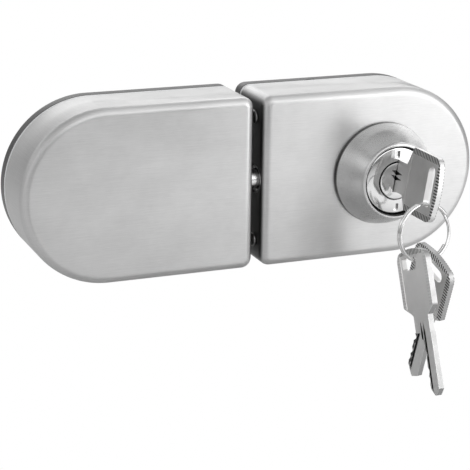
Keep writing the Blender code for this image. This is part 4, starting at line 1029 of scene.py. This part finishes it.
def key_outline():
    """Points (m, 2) in Y and Z of a key: blade, neck, and a bow whose crown is a shallow parabola."""
    shoulder = -NECK["length"] - BOW["shoulder"]
    corner = BOW_END + BOW["crown"] + BOW["outer"]
    r_in, r_out = BOW["inner"], BOW["outer"]
    low, high = BOW["low"] + r_out, BOW["high"] - r_out
    t = np.linspace(0.0, 1.0, 13)[1:-1]
    return np.concatenate([
        blade_edge(),
        [(BLADE_LENGTH, TIP_HALF), (BLADE_LENGTH, -TIP_HALF), (BLADE_LENGTH - TIP_TAPER, -BLADE_HALF)],
        [(0.0, -BLADE_HALF), (0.0, NECK["low"]), (-NECK["length"], NECK["low"])],
        arc(shoulder - r_in, BOW["low"] + r_in, r_in, -QUARTER / 2, -QUARTER, 6),
        arc(corner, low, r_out, -QUARTER, -2 * QUARTER, 10),
        np.stack([BOW_END + BOW["crown"] * (2 * t - 1) ** 2, low + (high - low) * t], -1),
        arc(corner, high, r_out, 2 * QUARTER, QUARTER, 10),
        arc(shoulder - r_in, BOW["high"] - r_in, r_in, QUARTER, QUARTER / 2, 6),
        [(-NECK["length"], NECK["high"]), (0.0, NECK["high"])],
    ])


print("key", round((BLADE_LENGTH - BOW_END) / MM, 1), "x", round((BOW["high"] - BOW["low"]) / MM, 1), "mm")

# %% [markdown]
# Tools for a key: a slot for the ring, a sunk panel on the bow, two milled grooves that run
# out on the neck, and the slanted cutter that leaves a wide bevel along the bites. Only
# the slot goes right through, so the others couldn't be drawn into the outline.

# %% Key tools
SLOT_R = 2.375 * MM
LONG_SLOT = (15.2 * MM, 4.0 * MM, 6.35 * MM, SLOT_R)
SHORT_SLOT = (11.4 * MM, 5.9 * MM, 5.45 * MM, 1.0 * MM)
BORDER = 2.4 * MM
PANEL = dict(y=(BOW_END + BORDER, -NECK["length"] - BORDER), z=(BOW["low"] + BORDER, BOW["high"] - BORDER))
PANEL_DEPTH = 0.2 * MM
BEVEL_START = KEY_HALF - 0.75 * MM
BEVEL_FALL = 2.72


def plate(name, points, x0, x1):
    """Give an outline (m, 2) in Y and Z a thickness along X."""
    points = np.asarray(points, float)
    return skin(name, [np.stack([np.full(len(points), x), *points.T], -1) for x in (x0, x1)])


def slot_points(slot):
    """Points (m, 2) of a slot: four corner arcs round a middle line, without double points."""
    length, rise, from_end, r = slot
    y, side = BOW_END + from_end, SLOT_R - r
    low, high = rise - length / 2 + r, rise + length / 2 - r
    corners = ((y - side, low, 2), (y + side, low, 3), (y + side, high, 0), (y - side, high, 1))
    arcs = [arc(cy, cz, r, turn * QUARTER, (turn + 1) * QUARTER, 10) for cy, cz, turn in corners]
    points = np.concatenate(arcs)
    apart = np.linalg.norm(points - np.roll(points, 1, 0), axis=1) > 0.001 * MM
    return points[apart]


def run_out(side):
    """Two milled grooves of a face, as prisms that taper to a point on the neck."""
    near, far = sorted((side * (KEY_HALF - 0.45 * MM), side * (KEY_HALF + MM)))
    past = BLADE_LENGTH + MM
    start = 2.5 * MM
    lower = [(past, 0.4 * MM), (past, 1.6 * MM), (0.0, 1.8 * MM), (-4.4 * MM, 1.2 * MM), (0.0, 0.3 * MM)]
    upper = [(start, 2.5 * MM), (start, 3.7 * MM), (0.0, 3.9 * MM), (-4.6 * MM, 3.3 * MM), (0.0, 2.3 * MM)]
    return [plate("run_out", points, near, far) for points in (lower, upper)]


def bevelled_cuts(side):
    """Cutter for the bevel on the bites: its lower line falls by BEVEL_FALL times the step in x."""
    bites = np.concatenate([blade_edge()[1:], [(BLADE_LENGTH + 0.5 * MM, 0.7 * MM)]])
    over = np.stack([bites[::-1, 0], np.full(len(bites), 9 * MM)], -1)
    loops = []
    for x in (BEVEL_START, KEY_HALF + MM):
        drop = BEVEL_FALL * (x - BEVEL_START) - 0.1 * MM
        line = np.concatenate([bites - np.array([0.0, drop]), over])
        loops.append(np.stack([np.full(len(line), side * x), *line.T], -1))
    return skin("cut_bevel", loops)


print("slots", [round(slot[0] / MM, 1) for slot in (LONG_SLOT, SHORT_SLOT)], "mm long")

# %% [markdown]
# The cuts come first and the bevel last, so that every edge that they leave is softened in
# the same way. Weighted normals then keep the large faces flat beside their bevels.

# %% Making a key
KEY_BEVEL = 0.14 * MM


def make_key(name, slot, matrix):
    """A key with its slot, panel, grooves and bevels, moved to its place by a matrix."""
    item = plate(name, key_outline(), -KEY_HALF, KEY_HALF)
    out = KEY_HALF + MM
    (y0, y1), (z0, z1) = PANEL["y"], PANEL["z"]
    cuts = [plate("slot", slot_points(slot), -out, out),
            block("panel", (-out, y0, z0), (PANEL_DEPTH - KEY_HALF, y1, z1))]
    for side in (1, -1):
        cuts += run_out(side) + [bevelled_cuts(side)]
    cut(item, cuts)
    bevel = item.modifiers.new("bevel", "BEVEL")
    bevel.width = KEY_BEVEL
    bevel.segments = 2
    bevel.limit_method = "ANGLE"
    bevel.angle_limit = math.radians(40)
    bevel.use_clamp_overlap = True
    settle(item, weighted=True)
    item.data.transform(matrix)
    return item


print("edges of a key are bevelled by", round(KEY_BEVEL / MM, 2), "mm")

# %% [markdown]
# A key's bow has a ridged border round a plain panel, so that it can be gripped. Cut as
# shapes, the ridges would take thousands of faces, and as a pattern they take none. The
# pattern is read in the key's own frame, so it sits the same way on all three keys.

# %% Key finish
RIDGE_PITCH = 1.15 * MM
BITE_REACH = ((-5.0 * MM, 20.4 * MM), (-1.0 * MM, 4.3 * MM))
# Near black for the painted shade in a key's grooves and along its bites.
SHADE_BLACK = gray(0.03)


def key_nickel():
    """Node group of a plated key, from the x, y and z of the key's own frame.

    Ridges are the sine of a place over the pitch, held between two heights, where the border
    is and the face is flat; their sunken grooves are painted nearly black as shade. The narrow
    edge all round has the Edge tone, Sides is the share of the ridges beside the panel, and
    within the reach of the bites the edge is painted nearly black as shade along the cut.
    """
    g = Effect("key_nickel", METAL_IN | {"Edge": "Color", "Sides": "Float"}, METAL_OUT)
    x, y, z = g.axes(g.where)
    thick = g.math("ABSOLUTE", x)
    flat = g.spread(thick, KEY_HALF - 0.2 * MM, KEY_HALF - 0.12 * MM)
    in_y = g.between(y, *PANEL["y"], 0.15 * MM)
    in_z = g.between(z, *PANEL["z"], 0.15 * MM)
    off_panel = g.math("SUBTRACT", 1.0, g.times(in_y, in_z))
    waves = [g.math("SINE", g.times(value, 2 * math.pi / RIDGE_PITCH)) for value in (y, z)]
    bars = [g.spread(wave, -0.2, 0.3) for wave in waves]
    bow = g.spread(y, PANEL["y"][1] - 0.3 * MM, PANEL["y"][1] - 0.1 * MM, 1.0, 0.0)
    beside = g.times(bars[0], g.times(g.math("SUBTRACT", 1.0, in_z), g.inputs["Sides"]))
    ridges = g.times(g.times(g.plus(beside, g.times(bars[1], in_z)), g.times(bow, off_panel)), flat)
    edge = g.times(g.spread(thick, KEY_HALF - 0.12 * MM, KEY_HALF - 0.04 * MM, 1.0, 0.0), off_panel)
    # Painted shade along the cut bites: the narrow edge there is darkened nearly to black.
    bite_shade = edge
    for value, (low, high) in zip((y, z), BITE_REACH):
        bite_shade = g.times(bite_shade, g.between(value, low, high, 0.1 * MM))
    smear = g.noise(g.where, 260.0, detail=4.0)
    color = g.blend(smear, g.inputs["Dark"], g.inputs["Light"])
    color = g.blend(edge, color, g.inputs["Edge"])
    # Painted shade: the sunken grooves between the ridges are nearly black.
    color = g.blend(g.times(ridges, 0.95), color, SHADE_BLACK)
    return g.give(
        Color=g.blend(g.times(bite_shade, 0.9), color, SHADE_BLACK),
        Roughness=g.spread(smear, 0.3, 0.7, g.inputs["Smooth"], g.inputs["Dull"]),
        Height=g.math("SUBTRACT", g.times(g.noise(g.where, 2400.0), 0.12), ridges),
    )


KEY_NICKEL = key_nickel()


def key_metal(name, matrix, dark, light, rough, edge, sides=1.0):
    """A key's finish, toned for how that key is lit as painted light and shade: edge is the share of the dark
    tone that its narrow edge has.
    """
    g = Finish(name)
    inverse = matrix.inverted()
    own_frame = g.place(tuple(inverse.to_translation()), tuple(inverse.to_euler("XYZ")))
    look = g.use(KEY_NICKEL, Place=own_frame, Dark=gray(dark, 0.004), Light=gray(light, 0.004), Smooth=rough,
                 Dull=rough + 0.12, Edge=gray(dark * edge), Sides=sides)
    return g.finish(look["Color"], look["Roughness"], look["Height"], 0.16 * MM)


print("ridges on the long side of a bow", int((BOW["high"] - BOW["low"]) / RIDGE_PITCH))

# %% [markdown]
# The first key stands in the plug, up to its shoulder, and leans with the keyway.

# %% Key in the lock
IN_PLUG = Matrix.Translation((0.0, SHOULDER_Y, 0.0)) @ Matrix.Rotation(KEY_LEAN, 4, "Y")
first_key = make_key("inserted_key", LONG_SLOT, IN_PLUG)
# The key in the lock has darker tones than the hanging keys, painted shade, and a lighter edge, painted
# light.
first_finish = key_metal("key_nickel_inserted", IN_PLUG, 0.64, 0.76, 0.30, edge=1.3)
done(first_key, "plug", ["key_in_lock"], first_finish)
print("shoulder at y", round(SHOULDER_Y / MM, 2), "mm")

# %% [markdown]
# The split ring is two turns of spring wire side by side, which cross over once, and it
# stands in the key's slot. A torus would hide the two turns, so a tube follows their path.

# %% Split ring
RING_R = 10.8 * MM
WIRE_R = 0.575 * MM
PITCH = 1.28 * MM
RING_LEAN = Euler((math.radians(-5.2), KEY_LEAN, math.radians(5.5)))
slot_length, slot_rise, slot_setback = LONG_SLOT[:3]
seat_z = slot_rise - slot_length / 2 + SLOT_R - 1.05 * MM
RING_SEAT = IN_PLUG @ Vector((0.0, BOW_END + slot_setback, seat_z))
RING_AT = Matrix.Translation(RING_SEAT) @ RING_LEAN.to_matrix().to_4x4()


def ring_tube(steps=360, sides=20, jog=0.09, start_angle=math.radians(100.0)):
    """Tube along (R sin t, p(t), -R - R cos t), where p steps aside once between the turns.

    The wire ends are drawn in to a small round, so they look ground off.
    """
    t = np.linspace(jog, 2.0 - jog, steps)
    angle = start_angle + 2 * np.pi * t
    ramp = np.clip((t - 1.0) / jog, -1.0, 1.0)
    aside = PITCH / 2 * np.sin(ramp * QUARTER)
    centre = np.stack([RING_R * np.sin(angle), aside, -RING_R - RING_R * np.cos(angle)], -1)
    outward = np.stack([np.sin(angle), np.zeros(steps), -np.cos(angle)], -1)
    side = np.array([0.0, 1.0, 0.0])
    around = np.linspace(0.0, 2 * np.pi, sides, endpoint=False)
    ring = outward[:, None, :] * np.cos(around)[None, :, None] + side * np.sin(around)[None, :, None]
    size = np.full(steps, WIRE_R)
    size[[0, -1]] = WIRE_R * 0.72
    return centre[:, None, :] + ring * size[:, None, None]


wire = skin("split_ring_wire", ring_tube(), sharp=50.0)
wire.data.transform(RING_AT)
done(wire, "ring", ["key_ring"], WIRE)
print("ring", round(2 * (RING_R + WIRE_R) / MM, 1), "mm over the wire")

# %% [markdown]
# Two spare keys hang from the ring. A physics run could let them settle, but hardly as they
# hang in the photograph. So each gets its place from a point of the ring and from how it
# leans in the picture, and its joint swings it from there.

# %% Hanging keys
def hanging_matrix(slot, at, hold, lean):
    """Where a key hangs: its slot's end is held at a point of the ring, and it leans."""
    at = math.radians(at)
    crossing = RING_AT @ Vector((RING_R * math.sin(at), 0.0, -RING_R - RING_R * math.cos(at)))
    swing = Matrix.Translation(crossing) @ Euler([math.radians(v) for v in lean]).to_matrix().to_4x4()
    held = Vector((0.0, BOW_END + slot[2] - SLOT_R + hold[0], hold[1]))
    return swing @ Matrix.Rotation(-math.pi / 2, 4, "X") @ Matrix.Translation(-held)


FRONT = hanging_matrix(SHORT_SLOT, -15.0, (1.6 * MM, 2.6 * MM), (-22.0, -1.0, -0.8))
REAR = hanging_matrix(LONG_SLOT, 19.0, (1.4 * MM, 7.0 * MM), (19.5, -2.1, 4.9))
front_key = make_key("front_hanging_key", SHORT_SLOT, FRONT)
# The hanging keys take lighter tones of the same nickel, painted light, and darker edges, painted shade.
front_finish = key_metal("key_nickel_front", FRONT, 0.90, 0.99, 0.30, edge=0.55, sides=0.12)
done(front_key, "front_key", ["hanging_key_front"], front_finish)
rear_key = make_key("rear_hanging_key", LONG_SLOT, REAR)
rear_finish = key_metal("key_nickel_rear", REAR, 0.92, 0.99, 0.40, edge=0.6)
done(rear_key, "rear_key", ["hanging_key_rear"], rear_finish)
print("keys and ring", made[-4:])

# %% [markdown]
# The nodes that stay as solids are inside the covers, where their faceted shape doesn't
# show. They still get real finishes, for anyone who takes the lock apart.

# %% Hidden nodes
KEPT = {
    ZINC: ["lock_chassis", "strike_chassis", "lock_clamp_plate", "strike_clamp_plate"],
    STEEL: ["cylinder_nut", "plug_clip", "cylinder_cam", "cam_screw", "bolt_guide", "guide_screw_upper",
            "guide_screw_lower"],
}
for material, names in KEPT.items():
    for node in names:
        for place in NODES[node].material_slots:
            place.material = material
print("kept", sum(len(names) for names in KEPT.values()))

# %% [markdown]
# The studio is white to the camera, as in the photograph, but steel that mirrors only white
# looks flat. So the camera sees white, and the metals see a pale floor and a gray surround.
# The floor carries a painted shadow under the lock, and a dark patch in front of it gives the spanner
# slots and other polished edges their darker side.

# %% Floor
FLOOR_Z = cad_low[2] - 12 * MM
FLOOR_HALF = 3.0
# Painted shadow on the floor under the lock: its middle, where it ends, where the pale floor begins, and its
# tone.
SHADOW_MIDDLE_X = -0.05
SHADOW_TO, PALE_FROM = 0.05, 0.20
SHADOW_UNDER_LOCK = gray(0.44)
OPEN_FLOOR = gray(0.88)
PATCH_AT = Vector((-0.150, -0.345, 0.0))
PATCH_TURN = math.radians(-58.7)
PATCH_HALF = {"X": 75 * MM, "Y": 45 * MM}
PATCH_SOFT = 25 * MM
PATCH_TONE = gray(0.12)


def white_to_camera(g, shader, kind):
    """Mix a shader with a plain white one that only the camera sees."""
    white = g.node(kind)
    white.inputs["Color"].default_value = gray(1.0)
    mix = g.node("MixShader")
    g.link(g.node("LightPath").outputs["Is Camera Ray"], mix.inputs[0])
    g.link(shader, mix.inputs[1])
    g.link(white.outputs[0], mix.inputs[2])
    return mix.outputs[0]


g = Finish("floor_pale")
part = g.axes(g.place(location=(-SHADOW_MIDDLE_X, 0.0, 0.0)))
away = g.math("SQRT", g.plus(g.times(part["X"], part["X"]), g.times(part["Y"], part["Y"])))
# Painted shadow: the floor darkens towards the point under the lock.
pale = g.blend(g.spread(away, SHADOW_TO, PALE_FROM), SHADOW_UNDER_LOCK, OPEN_FLOOR)
patch_place = -(Matrix.Rotation(PATCH_TURN, 4, "Z") @ PATCH_AT)
part = g.axes(g.place(location=tuple(patch_place), rotation=(0, 0, PATCH_TURN)))
inside = [g.spread(g.math("ABSOLUTE", part[k]), half, half + PATCH_SOFT, 1.0, 0.0)
          for k, half in PATCH_HALF.items()]
g.finish(g.blend(g.times(*inside), pale, PATCH_TONE), 0.9, metallic=0.0)
surface = g.tree.nodes["Material Output"].inputs["Surface"]
g.link(white_to_camera(g, g.shader.outputs[0], "Emission"), surface)
corners = [(x * FLOOR_HALF, y * FLOOR_HALF, FLOOR_Z) for x, y in ((-1, -1), (1, -1), (1, 1), (-1, 1))]
floor = mesh_object("floor", corners, [[0, 1, 2, 3]])
floor.data.materials.append(g.material)
floor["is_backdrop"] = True
print("floor", round((cad_low[2] - FLOOR_Z) / MM, 1), "mm below the keys")

# %% [markdown]
# The surround is a ramp from the ground to the zenith: dark below, brightest 30 degrees
# above the horizon, dim at the top. One even gray would leave the round edges of the covers
# without a highlight.

# %% Surround
STOPS = ((0.0, 0.04), (0.45, 0.05), (0.53, 0.28), (0.62, 0.47), (0.75, 0.95), (0.88, 0.22), (1.0, 0.12))
world = bpy.data.worlds.new("studio")
bpy.context.scene.world = world
world.use_nodes = True
g = Graph(world.node_tree)
g.tree.nodes.clear()
up = g.axes(g.node("TexCoord").outputs["Generated"])["Z"]
ramp = g.node("ValToRGB")
g.link(g.spread(up, -1.0, 1.0), ramp.inputs["Fac"])
for i, (at, value) in enumerate(STOPS):
    stop = ramp.color_ramp.elements[i] if i < 2 else ramp.color_ramp.elements.new(at)
    stop.position = at
    stop.color = gray(value)
sky = g.node("Background")
g.link(ramp.outputs["Color"], sky.inputs["Color"])
g.link(white_to_camera(g, sky.outputs[0], "Background"), g.node("OutputWorld").inputs["Surface"])
print("surround stops", len(STOPS))

# %% [markdown]
# Large soft lights draw long, even highlights on steel, where small ones would leave spots.

# %% Lights
MIDDLE = (-0.05, -0.03, -0.01)


def soft_light(name, location, target, size, power):
    """A rectangular soft light that faces a point and stays out of the camera's sight."""
    data = bpy.data.lights.new(name, "AREA")
    data.shape = "RECTANGLE"
    data.size, data.size_y = size
    data.energy = power
    lamp = bpy.data.objects.new(name, data)
    bpy.context.scene.collection.objects.link(lamp)
    lamp.location = location
    lamp.rotation_euler = (Vector(target) - Vector(location)).to_track_quat("-Z", "Y").to_euler()
    lamp.visible_camera = False


soft_light("right_card", (0.30, -0.42, -0.04), (0.0, -0.03, 0.0), (0.30, 0.60), 0.74)
soft_light("top_box", (-0.05, -0.10, 0.60), MIDDLE, (0.9, 0.6), 0.62)
soft_light("upper_front", (0.25, -0.55, 0.55), MIDDLE, (1.3, 0.9), 1.8)
soft_light("back_top", (0.15, 0.55, 0.50), MIDDLE, (0.8, 0.4), 1.3)
soft_light("left_card", (-0.75, -0.45, 0.10), MIDDLE, (0.4, 0.8), 0.28)
soft_light("floor_glow", (0.07, -0.25, 0.05), (0.07, -0.25, FLOOR_Z), (0.36, 0.20), 0.11)
print("lights", len(bpy.data.lights))

# %% [markdown]
# The camera was found by fitting the outlines of both halves to the photograph. Its focal
# length is in pixels of that picture, and its place is in metres in the shared frame.

# %% Camera
PICTURE_PIXELS = 470
FOCAL_PIXELS = 1650.7
CAMERA_AT = (-0.28484, -0.57888, 0.16002)
RIGHT = Vector((0.9271, -0.3747, 0.0123))
UP = Vector((0.0974, 0.2723, 0.9573))
BACKWARD = Vector((-0.3620, -0.8862, 0.2890))
lens = bpy.data.cameras.new("camera")
lens.sensor_width = 36.0
lens.lens = lens.sensor_width * FOCAL_PIXELS / PICTURE_PIXELS
lens.clip_start = 0.01
camera = bpy.data.objects.new("camera", lens)
bpy.context.scene.collection.objects.link(camera)
turn = Matrix((RIGHT, UP, BACKWARD)).transposed().to_quaternion()
camera.matrix_world = Matrix.Translation(CAMERA_AT) @ turn.to_matrix().to_4x4()
bpy.context.scene.camera = camera
bpy.context.scene.view_settings.view_transform = "Standard"
print("focal length", round(lens.lens, 2), "mm")

# %% [markdown]
# The box of the solids and the box of the dressed model are printed, so that the
# two can be compared.

# %% Sizes and finish
low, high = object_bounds()
print("cad", [round(v / MM, 2) for v in (*cad_low, *cad_high)])
print("visual", [round(v / MM, 2) for v in (*low, *high)])
